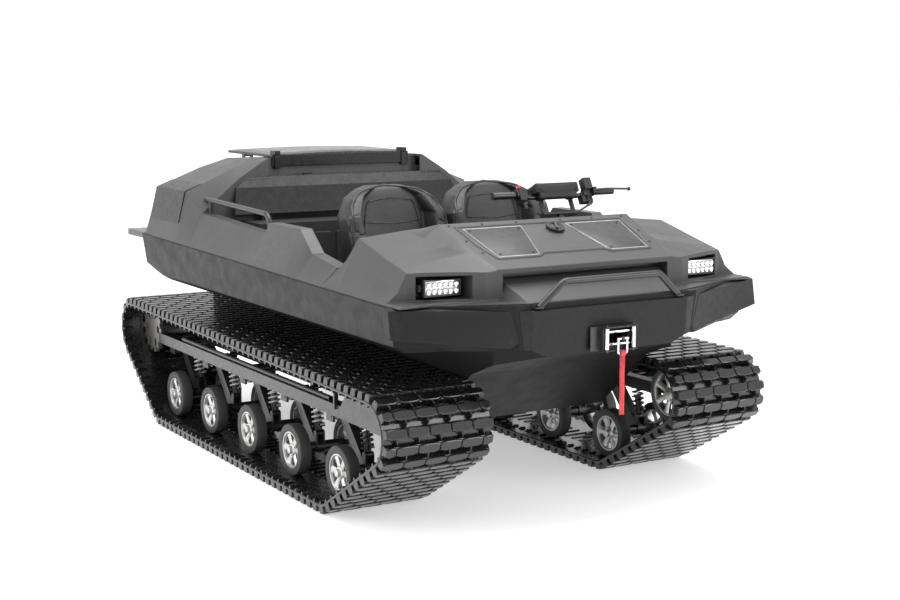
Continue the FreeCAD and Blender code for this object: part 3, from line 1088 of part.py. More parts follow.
seat_back = body("seat_back")
loft(seat_back, "seat_shell", "XY_Plane", [
    seat_slice("seat_pan_z - 20", "seat_half", "seat_wing"),
    seat_slice("seat_pan_z + 150", "seat_half", "seat_wing"),
    seat_slice("seat_top_z - 150", "seat_half", "seat_wing - 28"),
    seat_slice("seat_top_z - 60", "seat_half - 48", "seat_wing - 78"),
    seat_slice("seat_top_z - 16", "seat_half - 120", "20", "seat_back_thick - 14"),
    seat_slice("seat_top_z", "seat_half - 176", "4", "seat_back_thick - 44"),
])
PAN_X = "seat_back_x + 96"
seat_pan = body("seat_pan")
loft(seat_pan, "seat_cushion", "YZ_Plane", [
    (x, [(f"-({half})", f"seat_pan_z - seat_pan_tall + {low}"),
         (half, f"seat_pan_z - seat_pan_tall + {low}"),
         (half, f"seat_pan_z - {drop}"), (f"{half} - 60", f"seat_pan_z - {drop} - 14"),
         (f"-({half}) + 60", f"seat_pan_z - {drop} - 14"), (f"-({half})", f"seat_pan_z - {drop}")])
    for x, half, low, drop in ((PAN_X, "seat_half - 6", 0, 0), (f"{PAN_X} + 360", "seat_half - 18", 0, 0),
                               (f"{PAN_X} + seat_pan_long", "seat_half - 40", 14, 24))
])
seat = fuse("seat", [seat_back, seat_pan])
node("seat_left", group("seat_left", [seat], y="seat_y"))
node("seat_right", group("seat_right", [seat], y="-seat_y"))

# ---------------------------------------------------------------------------------------------
# Rear cabin: locker, backrest, engine lid, side vents, handrails, rear step and power unit
# ---------------------------------------------------------------------------------------------
locker_ribs = [box(f"locker_rib_{n}", ("locker_front_x - 1", f"-570 + {n} * 127", "shelf_z + 60"),
                   ("locker_front_x + 9", f"-480 + {n} * 127", "locker_top_z - 60")) for n in range(9)]
locker_case = cut(
    "locker_case",
    box("locker_box", ("locker_rear_x", "-locker_half", "shelf_z + wall + gap"),
        ("locker_front_x", "locker_half", "locker_top_z")),
    box("locker_room", ("locker_rear_x + 8", "-locker_half + 8", "shelf_z + wall - 1"),
        ("locker_front_x - 8", "locker_half - 8", "locker_top_z - 8")),
)
locker_foot = cut(
    "locker_foot",
    box("foot_box", ("locker_rear_x + 20", "-tub_mid_wide + 30", "tub_low_z + wall"),
        ("locker_front_x - 20", "tub_mid_wide - 30", "shelf_z + wall + 20")),
    box("foot_room", ("locker_rear_x + 28", "-tub_mid_wide + 38", "tub_low_z + wall - 1"),
        ("locker_front_x - 28", "tub_mid_wide - 38", "shelf_z + wall + 21")),
)
locker_sill = box("locker_sill", ("locker_rear_x + 4", "-tub_mid_wide + 30", "shelf_z + wall + gap"),
                  ("locker_front_x - 4", "tub_mid_wide - 30", "shelf_z + wall + 8"))
node("rear_locker", fuse("rear_locker", [locker_case, locker_foot, locker_sill] + locker_ribs))

backrest = body("backrest")
loft(backrest, "backrest_panel", "XY_Plane", [
    (z, [(f"{x} - rest_thick", f"-({half})"), (x, f"-({half})"), (x, half), (f"{x} - rest_thick", half)])
    for z, x, half in (("rest_low_z", "rest_low_x", "rest_low_half"),
                       ("rest_top_z - 55", "rest_top_x + 14", "rest_low_half - 30"),
                       ("rest_top_z", "rest_top_x", "rest_top_half"))
])
backrest_tab = box("backrest_tab", ("rest_top_x - 22", -262, "rest_top_z - 2"),
                   ("rest_top_x - 4", -214, "rest_top_z + 14"))
rest_feet = [box(f"rest_foot_{n}", ("rest_low_x - 26", y, "locker_top_z"),
                 ("rest_low_x - 8", f"{y} + 60", "rest_low_z + 4"))
             for n, y in enumerate(("-rest_low_half + 160", "rest_low_half - 220"))]
node("rear_backrest", trimmed(fuse("rear_backrest", [backrest, backrest_tab] + rest_feet), "deck_shell"))


def lid_section(half, low, crown):
    return [(half, low), (half, f"{low} + lid_thick - 14"),
            (f"{half} - 46", f"{low} + lid_thick + {crown} - 6"), ("60", f"{low} + lid_thick + {crown}")]


lid = body("lid")
loft(lid, "lid_panel", "YZ_Plane", sections([
    ("lid_rear_x", lid_section("lid_half", "lid_top_z - lid_thick", -4)),
    ("lid_rear_x + 90", lid_section("lid_half", "lid_top_z - lid_thick", 2)),
    ("lid_front_x - 40", lid_section("lid_half", "lid_top_z - lid_thick", 2)),
    ("lid_front_x + 4", lid_section("lid_half", "lid_top_z - lid_thick", -6)),
]))
lid_parts = [lid, box("lid_lip", ("lid_front_x + 2", "-lid_half", "lid_lip_z"),
                      ("lid_front_x + 10", "lid_half", "lid_top_z - 14"))]
for number, y in enumerate(("-latch_y - 16", "latch_y - 16")):
    lid_parts.append(box(f"latch_{number}", ("lid_front_x + 8", y, "lid_lip_z - 12"),
                         ("lid_front_x + 18", f"{y} + 32", "lid_top_z - 20")))
    lid_parts.append(box(f"latch_top_{number}", ("lid_front_x - 46", y, "lid_top_z - 16"),
                         ("lid_front_x + 18", f"{y} + 32", "lid_top_z + 8")))
for number, y in enumerate((-338, 301)):
    knuckle = ring(f"knuckle_{number}", "hinge_rad", "5 + run", 37, ("hinge_x", y, "hinge_z"))
    web = box(f"knuckle_web_{number}", ("hinge_x - 6", y, "hinge_z + 6.5"),
              ("hinge_x + 6", f"{y} + 37", "lid_top_z - lid_thick + 2"))
    lid_parts += [knuckle, web]
node("engine_lid", fuse("engine_lid", lid_parts))

vent = body("vent")
VENT_LOW = "house_edge_z - 166"
loft(vent, "vent_plate", "YZ_Plane", [
    (x, [(921, VENT_LOW), (925, VENT_LOW), ("house_edge_half + 6", "house_edge_z + 4"),
         (786, "house_edge_z + 41"),
         (785, "house_edge_z + 37"), ("house_edge_half + 2", "house_edge_z + 1")])
    for x in ("house_top_rear_x + 14", "house_pillar_x - 6")
])
node("side_vents", trimmed(group("side_vents", [vent, mirror("vent_right", vent)]), "deck_shell"))

grab = bent_tube("grab_tube", [
    ("grab_rear_x + 20", "rail_y", "grab_z"), ("grab_front_x - 40", "rail_y", "grab_front_z"),
    ("grab_front_x", "rail_y", "sill_mid_z + 4"),
], "grab_rad", "grab_bend")
grab_left = fuse("grab_left", [
    grab,
    rod("grab_post", "grab_rad - 2", "grab_z - sill_rear_z + 4",
        ("grab_rear_x + 90", "rail_y", "sill_rear_z - 5"), "z"),
    rod("grab_foot", "grab_rad + 9", 5, ("grab_front_x", "rail_y", "sill_mid_z"), "z"),
    rod("grab_post_foot", "grab_rad + 9", 5, ("grab_rear_x + 90", "rail_y", "sill_rear_z - 3"), "z"),
])
node("handrails", trimmed(group("handrails", [grab_left, mirror("grab_right", grab_left)]), "deck_shell"))

step_plate = cut("step_plate", box("step_tray", ("-half_long", "-step_half", "step_top_z - step_thick"),
                                   ("keel_rear_x + 50", "step_half", "step_top_z")),
                 box("step_hollow", ("-half_long + 5", "-step_half + 5", "step_top_z - step_thick - 1"),
                     ("keel_rear_x + 60", "step_half - 5", "step_top_z - 5")))
step_parts = [step_plate]
for number, y in enumerate(("-stern_half + 120", -5, "stern_half - 130")):
    arm_web = body(f"step_arm_{number}")
    pad(arm_web, sketch(arm_web, f"step_arm_side_{number}", "XZ_Plane", [
        ("-half_long + 40", "step_top_z - 3"), ("stern_x", "step_top_z - 3"),
        ("stern_x", "step_top_z - 110"), ("-half_long + 40", "step_top_z - 40"),
    ], f"-({y})"), "10", backwards=True)
    step_parts.append(arm_web)
tongue = box("tongue", ("-half_long + 2", -45, "step_top_z - step_thick - 60"),
             ("keel_rear_x + 10", 45, "step_top_z - step_thick - 48"))
tongue_web = box("tongue_web", ("-half_long + 60", 5, "step_top_z - step_thick - 50"),
                 ("keel_rear_x + 10", 13, "step_top_z - 4"))
tongue_back = box("tongue_back", ("keel_rear_x - 10", -60, "keel_stern_z - 60"),
                  ("keel_rear_x", 60, "step_top_z - 6"))
hitch_hole = rod("hitch_hole", "hitch_rad", 30, ("hitch_x", 0, "step_top_z - step_thick - 70"), "z")
node("rear_step", fuse("rear_step", step_parts + [cut("hitch_tongue",
                                                      fuse("tongue_solid",
                                                           [tongue, tongue_web, tongue_back]),
                                                           hitch_hole)]))



def casing(name, low, high):
    """A cast box with walls of 14 mm and an open underside."""
    inner_low = [f"({c}) + 14" for c in low[:2]] + [f"({low[2]}) - 1"]
    inner_high = [f"({c}) - 14" for c in high]
    return cut(name, box(name + "_out", low, high), box(name + "_in", inner_low, inner_high))


node("powertrain", fuse("powertrain", [
    casing("engine_block", ("-1180", "-190", "tub_low_z + wall + 40"), ("-900", "190", "820")),
    box("engine_head", (-1140, -150, 800), (-960, 150, 900)),
    casing("gearbox", ("-1536", "-160", "keel_rear_z + 36"), ("-1175", "160", "700")),
    rod("engine_fan", 120, 60, (-1040, -250, 640)),
    rod("muffler", 62, 420, (-1290, -210, 790)),
    box("engine_bed", (-1190, -300, "tub_low_z + wall"), (-890, 300, "tub_low_z + wall + 41")),
    box("muffler_stay", (-1300, -20, 690), (-1280, 20, 740)),
    rod("half_shaft_r", 24, 340, ("sprocket_x", "-tub_mid_wide + wall + 0.5", "sprocket_z")),
    rod("half_shaft_l", 24, 340, ("sprocket_x", "tub_mid_wide - wall - 340.5", "sprocket_z")),
]))

# ---------------------------------------------------------------------------------------------
# Check every object and write one file per sub-part
# ---------------------------------------------------------------------------------------------
doc.recompute()
for obj in doc.Objects:
    if "Invalid" in obj.State or "Error" in obj.State:
        raise RuntimeError(f"{obj.Label} did not build: {obj.State}")
os.makedirs("parts", exist_ok=True)
for label, obj in NODES.items():
    if obj.Shape.isNull() or not obj.Shape.isValid():
        raise RuntimeError(f"{label} has no valid shape")
    obj.Shape.exportStep(f"parts/{label}.step")
print(f"{len(NODES)} sub-parts")
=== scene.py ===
"""Looks for the two-seat tracked amphibious vehicle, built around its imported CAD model."""
import math

import bmesh
import bpy
from mathutils import Matrix, Vector
from mathutils.bvhtree import BVHTree


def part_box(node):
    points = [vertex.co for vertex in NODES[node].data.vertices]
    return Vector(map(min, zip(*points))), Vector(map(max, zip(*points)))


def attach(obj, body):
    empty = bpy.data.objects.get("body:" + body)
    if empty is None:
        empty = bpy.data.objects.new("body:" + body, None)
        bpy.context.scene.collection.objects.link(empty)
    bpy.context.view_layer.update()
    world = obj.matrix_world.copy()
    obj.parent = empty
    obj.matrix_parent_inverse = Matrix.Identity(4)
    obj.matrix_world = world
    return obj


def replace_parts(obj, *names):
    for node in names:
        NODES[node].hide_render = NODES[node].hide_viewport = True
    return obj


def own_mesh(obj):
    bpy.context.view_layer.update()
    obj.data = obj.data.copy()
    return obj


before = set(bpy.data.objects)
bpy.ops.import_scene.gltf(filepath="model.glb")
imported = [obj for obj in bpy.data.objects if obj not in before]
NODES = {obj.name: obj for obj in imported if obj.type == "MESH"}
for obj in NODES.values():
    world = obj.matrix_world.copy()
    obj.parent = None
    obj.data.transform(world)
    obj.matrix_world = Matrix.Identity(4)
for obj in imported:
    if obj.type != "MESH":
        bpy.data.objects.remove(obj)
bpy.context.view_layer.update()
SIDES = (("right", -1), ("left", 1))
WHEELS = range(1, 6)

# ---------------------------------------------------------------------------------------------
# Materials
# ---------------------------------------------------------------------------------------------
def graph(name):
    """A new material with its node tree and its main shader."""
    made = bpy.data.materials.new(name)
    made.use_nodes = True
    return made, made.node_tree, made.node_tree.nodes["Principled BSDF"]


def add(tree, kind, **inputs):
    """A node with its inputs set: words with _ stand for sockets with spaces."""
    node = tree.nodes.new("ShaderNode" + kind)
    for key, value in inputs.items():
        numbered = key[0] == "i" and key[1:].isdigit()
        socket = node.inputs[int(key[1:]) if numbered else key.replace("_", " ")]
        socket.default_value = value
    return node


def grey(value, warm=0.0):
    return (value * (1 + warm), value, value * (1 - warm), 1.0)


def noise(tree, place, scale, detail=3.0, stretch=None):
    """A noise texture in object space."""
    made = add(tree, "TexNoise", Scale=scale, Detail=detail, Roughness=0.55)
    if stretch:
        squeeze = add(tree, "Mapping", Scale=stretch)
        tree.links.new(place.outputs["Object"], squeeze.inputs["Vector"])
        tree.links.new(squeeze.outputs["Vector"], made.inputs["Vector"])
    else:
        tree.links.new(place.outputs["Object"], made.inputs["Vector"])
    return made


def ranged(tree, source, low, high, start=0.3, end=0.7):
    made = add(tree, "MapRange", From_Min=start, From_Max=end, To_Min=low, To_Max=high)
    tree.links.new(source, made.inputs["Value"])
    return made.outputs["Result"]


def surface(name, color, rough, metallic=0.0, coat=0.0, vary=0.12, cloud=3.0, grain=900.0, relief=0.00025,
            spread=0.08, painted_edge_highlight=0.0, corner=0.004, specular=0.5, sheen=0.0, stretch=None):
    """A surface with cloudy colour, uneven gloss, moulded grain, a painted highlight in lighter patches along
    convex edges, and rounded corners.
    """
    made, tree, shader = graph(name)
    place = add(tree, "TexCoord")
    shader.inputs["Metallic"].default_value = metallic
    shader.inputs["Coat Weight"].default_value = coat
    shader.inputs["Coat Roughness"].default_value = 0.12
    shader.inputs["Specular IOR Level"].default_value = specular
    shader.inputs["Sheen Weight"].default_value = sheen
    tint = add(tree, "Mix")
    tint.data_type = "RGBA"
    tint.inputs["A"].default_value = [c * (1 - vary) for c in color[:3]] + [1]
    tint.inputs["B"].default_value = [min(1, c * (1 + vary)) for c in color[:3]] + [1]
    clouds = noise(tree, place, cloud, 5.0, stretch)
    tree.links.new(ranged(tree, clouds.outputs["Fac"], 0, 1), tint.inputs["Factor"])
    outcome = tint.outputs["Result"]
    # painted highlight: convex edges found by pointiness are lightened in noisy patches
    if painted_edge_highlight:
        edge = add(tree, "Mix")
        edge.data_type = "RGBA"
        edge.inputs["B"].default_value = [min(1, c * 1.7 + 0.03) for c in color[:3]] + [1]
        pointed = add(tree, "NewGeometry")
        highlight_patches = noise(tree, place, 60, 4.0)
        ridge = ranged(tree, pointed.outputs["Pointiness"], 0, painted_edge_highlight, 0.52, 0.62)
        patch = add(tree, "Math")
        patch.operation = "MULTIPLY"
        tree.links.new(ridge, patch.inputs[0])
        tree.links.new(ranged(tree, highlight_patches.outputs["Fac"], 0, 1, 0.35, 0.6), patch.inputs[1])
        tree.links.new(outcome, edge.inputs["A"])
        tree.links.new(patch.outputs[0], edge.inputs["Factor"])
        outcome = edge.outputs["Result"]
    tree.links.new(outcome, shader.inputs["Base Color"])
    blotch = noise(tree, place, cloud * 7, 4.0, stretch)
    tree.links.new(ranged(tree, blotch.outputs["Fac"], rough - spread, rough + spread),
                   shader.inputs["Roughness"])
    fine = noise(tree, place, grain, 2.0, stretch)
    bump = add(tree, "Bump", Strength=1.0, Distance=relief)
    tree.links.new(fine.outputs["Fac"], bump.inputs["Height"])
    if corner:
        soft = add(tree, "Bevel", Radius=corner)
        soft.samples = 4
        tree.links.new(soft.outputs["Normal"], bump.inputs["Normal"])
    tree.links.new(bump.outputs["Normal"], shader.inputs["Normal"])
    return made


# deck, black coat and bumper carry the painted highlight on their convex edges
DECK = surface("deck_plastic", grey(0.048, 0.01), 0.40, vary=0.08, cloud=1.4, grain=700, relief=0.0002,
               spread=0.05, painted_edge_highlight=0.35, corner=0.009)
HULL = surface("hull_plastic", grey(0.008, 0.04), 0.40, vary=0.2, cloud=2.0, grain=600, relief=0.0002,
               corner=0.010, specular=0.18)
PANEL = surface("panel_plastic", grey(0.030, 0.02), 0.40, vary=0.12, cloud=4.0, grain=800, corner=0.004)
COAT = surface("black_coat", grey(0.016), 0.34, coat=0.25, vary=0.2, cloud=6.0, grain=1100, relief=0.00012,
               painted_edge_highlight=0.5, corner=0.0025)
BUMPER = surface("bumper_coat", grey(0.008), 0.42, vary=0.2, cloud=5.0, grain=1400, relief=0.0002,
                 painted_edge_highlight=0.3, corner=0.003,
                 specular=0.25)
RUBBER = surface("track_rubber", grey(0.009), 0.27, coat=0.35, vary=0.3, cloud=9.0, grain=300,
                 relief=0.0001, spread=0.05, corner=0.002)
TYRE = surface("tyre_rubber", grey(0.050, 0.02), 0.62, vary=0.15, cloud=14.0, grain=900, relief=0.0003,
               corner=0.003)
ALLOY = surface("cast_alloy", grey(0.62, 0.01), 0.34, metallic=1.0, vary=0.10, cloud=20.0, grain=700,
                relief=0.0003, corner=0.002)
CHROME = surface("plated_steel", grey(0.72), 0.16, metallic=1.0, vary=0.06, cloud=30.0, grain=900,
                 relief=0.00005, spread=0.05, corner=0.0015)
STEEL = surface("zinc_steel", grey(0.50, 0.03), 0.36, metallic=1.0, vary=0.12, cloud=30.0, grain=900,
                relief=0.0001, corner=0.0015)
SPRING = surface("spring_white", grey(0.55, 0.01), 0.30, coat=0.5, vary=0.08, cloud=20.0, relief=0.0001,
                 corner=0.001)
SPRING_DARK = surface("spring_black", grey(0.02), 0.30, coat=0.4, vary=0.2, cloud=20.0, relief=0.0001,
                      corner=0.001)
VINYL = surface("seat_vinyl", grey(0.022, 0.01), 0.42, vary=0.2, cloud=8.0, grain=520, relief=0.0006,
                spread=0.06, corner=0.0)
PIPING = surface("seat_piping", grey(0.012), 0.35, vary=0.2, cloud=20.0, grain=900, relief=0.0002,
                 corner=0.0)
THREAD = surface("seat_thread", grey(0.10), 0.7, vary=0.2, cloud=60.0, grain=2500, relief=0.0003,
                 corner=0.0)
FOAM = surface("pad_foam", grey(0.010), 0.72, vary=0.2, cloud=12.0, grain=1500, relief=0.0006, corner=0.005)
LID = surface("lid_plastic", grey(0.009), 0.26, coat=0.2, specular=0.3, vary=0.2, cloud=3.0, grain=500,
              relief=0.0002, corner=0.006)
RED = surface("red_webbing", (0.55, 0.012, 0.02, 1), 0.62, vary=0.25, cloud=60.0, grain=1600,
              relief=0.0006, sheen=0.4, corner=0.0)
RED_GLOSS = surface("red_plastic", (0.60, 0.015, 0.01, 1), 0.22, coat=0.5, vary=0.08, cloud=60.0,
                    relief=0.00005, corner=0.001)
# the engine alloy also carries the painted highlight on its convex edges
ENGINE = surface("engine_alloy", grey(0.35), 0.48, metallic=0.9, vary=0.2, cloud=12.0, grain=500,
                 relief=0.0005, painted_edge_highlight=0.3, corner=0.003)
LAMP = surface("lamp_black", grey(0.012), 0.36, coat=0.3, vary=0.2, cloud=20.0, grain=1500, relief=0.0001,
               corner=0.0015)
# light metallic grey for the beads around the hood covers: a painted highlight along their raised borders
COVER_BEAD_HIGHLIGHT = surface("painted_highlight_bead", grey(0.42, 0.01), 0.32, metallic=0.6, vary=0.15, cloud=20.0, relief=0.0001,
               corner=0.0)


def lit(name, color, strength, rough):
    """A pale lens that glows a little, with a rippled face."""
    made, tree, shader = graph(name)
    shader.inputs["Base Color"].default_value = color
    shader.inputs["Roughness"].default_value = rough
    shader.inputs["Emission Color"].default_value = color
    shader.inputs["Emission Strength"].default_value = strength
    ripple = noise(tree, add(tree, "TexCoord"), 260, 2.0)
    bump = add(tree, "Bump", Strength=0.6, Distance=0.0004)
    tree.links.new(ripple.outputs["Fac"], bump.inputs["Height"])
    tree.links.new(bump.outputs["Normal"], shader.inputs["Normal"])
    return made


LENS = lit("led_lens", (0.86, 0.88, 0.86, 1), 0.55, 0.12)

PAINT = {
    DECK: ["deck_shell"], HULL: ["hull_tub"],
    PANEL: ["service_covers", "side_vents", "rear_locker", "fuel_cap"],
    COAT: ["bull_bar", "handrails", "rear_step", "fairlead_frame", "winch", "steering_column",
           "track_frame_right", "track_frame_left"],
    BUMPER: ["front_bumper"],
    CHROME: ["winch_hook"] + [f"fairlead_roller_{s}" for s in ("left", "right", "upper", "lower")],
    LAMP: ["headlight_left", "headlight_right", "handlebar", "brake_lever", "throttle_lever"],
    LID: ["engine_lid", "rear_backrest"], ENGINE: ["powertrain"], RED_GLOSS: ["kill_button"],
    FOAM: ["handlebar_pad"],
    SPRING: ["coilovers"], VINYL: ["seat_left", "seat_right"], RED: ["hook_strap"],
    STEEL: [f"drive_sprocket_{s}" for s, _ in SIDES], ALLOY: [f"idler_{s}" for s, _ in SIDES],
    RUBBER: [f"track_belt_{s}" for s, _ in SIDES],
}
for paint, names in PAINT.items():
    for name in names:
        NODES[name].data.materials.clear()
        NODES[name].data.materials.append(paint)
for side, _ in SIDES:
    for number in WHEELS:
        for kind, paint in (("swing_arm", COAT), ("road_wheel", ALLOY)):
            NODES[f"{kind}_{side}_{number}"].data.materials.clear()
            NODES[f"{kind}_{side}_{number}"].data.materials.append(paint)


# ---------------------------------------------------------------------------------------------
# Mesh helpers
# ---------------------------------------------------------------------------------------------
def piece(name, mesh, body, paints, at=(0, 0, 0), smooth=35):
    """An object of that mesh at a place, painted, smoothed and riding on a body."""
    if isinstance(mesh, bmesh.types.BMesh):
        data = bpy.data.meshes.new(name)
        bmesh.ops.recalc_face_normals(mesh, faces=mesh.faces)
        mesh.to_mesh(data)
        mesh.free()
        mesh = data
    made = bpy.data.objects.new(name, mesh)
    bpy.context.scene.collection.objects.link(made)
    if not mesh.materials:
        for paint in paints if isinstance(paints, (list, tuple)) else [paints]:
            mesh.materials.append(paint)
    if smooth:
        mesh.shade_smooth()
        mesh.set_sharp_from_angle(angle=math.radians(smooth))
    made.location = at
    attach(made, body)
    return made


def rings(mesh, loops, closed=False, caps=True, paint=0):
    """Faces between rings of points, each ring a closed loop of the same length."""
    made = [[mesh.verts.new(p) for p in loop] for loop in loops]
    count = len(made[0])
    pairs = list(zip(made, made[1:])) + ([(made[-1], made[0])] if closed else [])
    for a, b in pairs:
        for i in range(count):
            j = (i + 1) % count
            mesh.faces.new((a[i], a[j], b[j], b[i])).material_index = paint
    if caps and not closed:
        mesh.faces.new(made[0]).material_index = paint
        mesh.faces.new(made[-1]).material_index = paint
    return made


def lathe(mesh, profile, steps, centre=(0, 0, 0), paint=0, start=0.0, turn=2 * math.pi):
    """A body of revolution about Y: the profile is a closed list of (radius, y)."""
    cx, cy, cz = centre
    loops = []
    for i in range(steps):
        angle = start + turn * i / steps
        loops.append([(cx + r * math.cos(angle), cy + y, cz + r * math.sin(angle)) for r, y in profile])
    rings(mesh, loops, closed=True, paint=paint)


def block(mesh, low, high, edge=0.0, paint=0, taper=(0.0, 0.0)):
    """A box whose edges along Z are chamfered and whose top is drawn in by taper."""
    (x0, y0, z0), (x1, y1, z1) = low, high
    tx, ty = taper

    def outline(z, inx, iny):
        a0, a1, b0, b1, e = x0 + inx, x1 - inx, y0 + iny, y1 - iny, edge
        if not e:
            return [(a0, b0, z), (a1, b0, z), (a1, b1, z), (a0, b1, z)]
        return [(a0 + e, b0, z), (a1 - e, b0, z), (a1, b0 + e, z), (a1, b1 - e, z),
                (a1 - e, b1, z), (a0 + e, b1, z), (a0, b1 - e, z), (a0, b0 + e, z)]

    lift = min(edge, (z1 - z0) / 3) if edge else 0
    loops = [outline(z0, 0, 0), outline(z1 - lift, tx, ty)]
    if lift:
        loops.append(outline(z1, tx + lift, ty + lift))
    rings(mesh, loops, paint=paint)


def tube(mesh, points, radius, sides=10, paint=0):
    """A round tube along points, with flat ends."""
    points = [Vector(p) for p in points]
    loops, up = [], Vector((0.21, 0.35, 0.91))
    for i, here in enumerate(points):
        along = (points[min(i + 1, len(points) - 1)] - points[max(i - 1, 0)]).normalized()
        across = along.cross(up).normalized()
        up = across.cross(along).normalized()
        loops.append([here + radius * (math.cos(a) * across + math.sin(a) * up)
                      for a in (2 * math.pi * k / sides for k in range(sides))])
    rings(mesh, loops, paint=paint)


def turned(mesh, start, matrix):
    """Moves the vertices made since start by a matrix."""
    mesh.verts.ensure_lookup_table()
    for vert in mesh.verts[start:]:
        vert.co = matrix @ vert.co


def stood(mesh, begin, at, upright, toward):
    """Turns the newest points so that upright looks toward another direction, and moves them to a place."""
    lean = Vector(upright).rotation_difference(Vector(toward))
    turned(mesh, begin, Matrix.Translation(at) @ lean.to_matrix().to_4x4())


def screw(mesh, at, normal, radius=0.006, tall=0.003, paint=0):
    """A low domed screw head with a round socket."""
    mesh.verts.ensure_lookup_table()
    begin = len(mesh.verts)
    loops = [[(r * math.cos(a), r * math.sin(a), z) for a in (2 * math.pi * k / 14 for k in range(14))]
             for r, z in ((radius, -0.001), (radius, tall * 0.4), (radius * 0.8, tall),
                          (radius * 0.45, tall),
                          (radius * 0.42, tall * 0.3))]
    rings(mesh, loops, paint=paint)
    stood(mesh, begin, at, (0, 0, 1), normal)


# ---------------------------------------------------------------------------------------------
# Rubber tracks
# ---------------------------------------------------------------------------------------------
belt_low, belt_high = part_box("track_belt_left")
BELT_OUT, BELT_WIDE = belt_high.y, belt_high.y - belt_low.y
BELT_THICK, LUG_PITCH, LUG_TALL = 0.012, 0.064, 0.0325


def wrapped(extra):
    """The circles that the belt wraps, clockwise seen from the right."""
    found = []
    for name, radius in (("drive_sprocket_right", 0.141), ("idler_right", 0.131),
                         ("road_wheel_right_1", 0.125),
                         ("road_wheel_right_5", 0.125)):
        low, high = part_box(name)
        found.append(((low.x + high.x) / 2, (low.z + high.z) / 2, radius + extra))
    return found


def belt_line(extra):
    """Straight and round stretches of the belt: (kind, length, data)."""
    circles = wrapped(extra)
    after = circles[1:] + circles[:1]
    normals = [math.atan2(bz - az, bx - ax) + math.acos((ar - br) / math.hypot(bx - ax, bz - az))
               for (ax, az, ar), (bx, bz, br) in zip(circles, after)]
    found = []
    for (ax, az, ar), (bx, bz, br), angle, following in zip(circles, after, normals,
                                                            normals[1:] + normals[:1]):
        start = (ax + ar * math.cos(angle), az + ar * math.sin(angle))
        end = (bx + br * math.cos(angle), bz + br * math.sin(angle))
        found.append(("line", math.dist(start, end), (start, end, angle)))
        found.append(("arc", (angle - following) % (2 * math.pi) * br, (bx, bz, br, angle)))
    return found


def on_belt(line, distance):
    """The x, z and outward angle at a distance along the belt."""
    distance %= sum(part[1] for part in line)
    for kind, length, data in line:
        if distance <= length:
            break
        distance -= length
    if kind == "line":
        (ax, az), (bx, bz), angle = data
        share = distance / length
        return ax + (bx - ax) * share, az + (bz - az) * share, angle
    cx, cz, radius, angle = data
    angle -= distance / radius
    return cx + radius * math.cos(angle), cz + radius * math.sin(angle), angle


def belt_mesh(sign):
    """The carcass, the tread blocks with their stems and the inner ribs, as one mesh."""
    mesh = bmesh.new()
    line = belt_line(BELT_THICK)
    total = sum(part[1] for part in line)
    count = round(total / LUG_PITCH)
    step = total / count

    def spot(x, z, angle, along, across, out):
        """A point from run, width and height on the belt's outer face."""
        return (x + along * math.sin(angle) + out * math.cos(angle), sign * (BELT_OUT - across),
                z - along * math.cos(angle) + out * math.sin(angle))

    soft = 0.003
    section = [(soft, 0), (0, -soft), (0, -BELT_THICK + soft), (soft, -BELT_THICK),
               (BELT_WIDE - soft, -BELT_THICK),
               (BELT_WIDE, -BELT_THICK + soft), (BELT_WIDE, -soft), (BELT_WIDE - soft, 0)]
    loops = []
    for i in range(count * 4):
        x, z, angle = on_belt(line, i * step / 4)
        loops.append([spot(x, z, angle, 0, across, out) for across, out in section])
    rings(mesh, loops, closed=True)

    def prism(at, outline, low, high, inset):
        """A block from an outline of (along, across) with its top drawn in."""
        mid_u = sum(u for u, _ in outline) / len(outline)
        mid_v = sum(v for _, v in outline) / len(outline)
        loops = []
        for out, draw in ((low, 0.0), (high - 0.003, inset * 0.6), (high, inset + 0.002)):
            ring = []
            for u, v in outline:
                du, dv = u - mid_u, v - mid_v
                u2 = mid_u + du - math.copysign(min(draw, abs(du)), du)
                v2 = mid_v + dv - math.copysign(min(draw, abs(dv)), dv)
                ring.append(spot(*at, u2, v2, out))
            loops.append(ring)
        rings(mesh, loops)

    segments, margin = 5, 0.004
    long = (BELT_WIDE - 2 * margin) / segments
    for number in range(count):
        at = on_belt(line, number * step)
        shifted = number % 2
        prism(at, [(-0.0225, margin), (0.0195, margin), (0.0195, BELT_WIDE - margin),
                   (-0.0225, BELT_WIDE - margin)],
              -0.002, 0.0245, 0.004)
        edges = [margin + long * (k - 0.5 * shifted) for k in range(segments + 1 + shifted)]
        for a, b in zip(edges, edges[1:]):
            a, b = max(a, margin), min(b, BELT_WIDE - margin)
            slant = min(0.022, (b - a) * 0.35)
            prism(at, [(-0.018, a + 0.0008), (0.016, a + 0.0008), (0.0235, a + slant), (0.0235, b - slant),
                       (0.016, b - 0.0008),
                       (-0.018, b - 0.0008), (-0.0225, b - slant), (-0.0225, a + slant)], -0.002, LUG_TALL,
                       0.0030)
            if b - a > long * 0.8:
                mid = (a + b) / 2
                prism(at, [(0.020, mid - 0.0055), (step - 0.020, mid - 0.003), (step - 0.020, mid + 0.003),
                           (0.020, mid + 0.0055)],
                      -0.002, 0.029, 0.0012)
        for low_v, high_v, tall in ((0.003, 0.064, 0.013), (0.216, 0.362, 0.006), (0.436, 0.477, 0.010)):
            loops = []
            for out, half in ((-BELT_THICK + 0.001, 0.009), (-BELT_THICK - tall * 0.7, 0.005),
                              (-BELT_THICK - tall, 0.003)):
                slope = 0.012 if out < -BELT_THICK else 0.0
                loops.append([spot(*at, -half, low_v + slope * 0.2, out),
                              spot(*at, half, low_v + slope * 0.2, out),
                              spot(*at, half, high_v - slope, out), spot(*at, -half, high_v - slope, out)])
            rings(mesh, loops)
    return mesh


for side, sign in SIDES:
    belt = piece(f"track.{side}", belt_mesh(sign), "chassis", RUBBER, smooth=25)
    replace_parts(belt, f"track_belt_{side}")


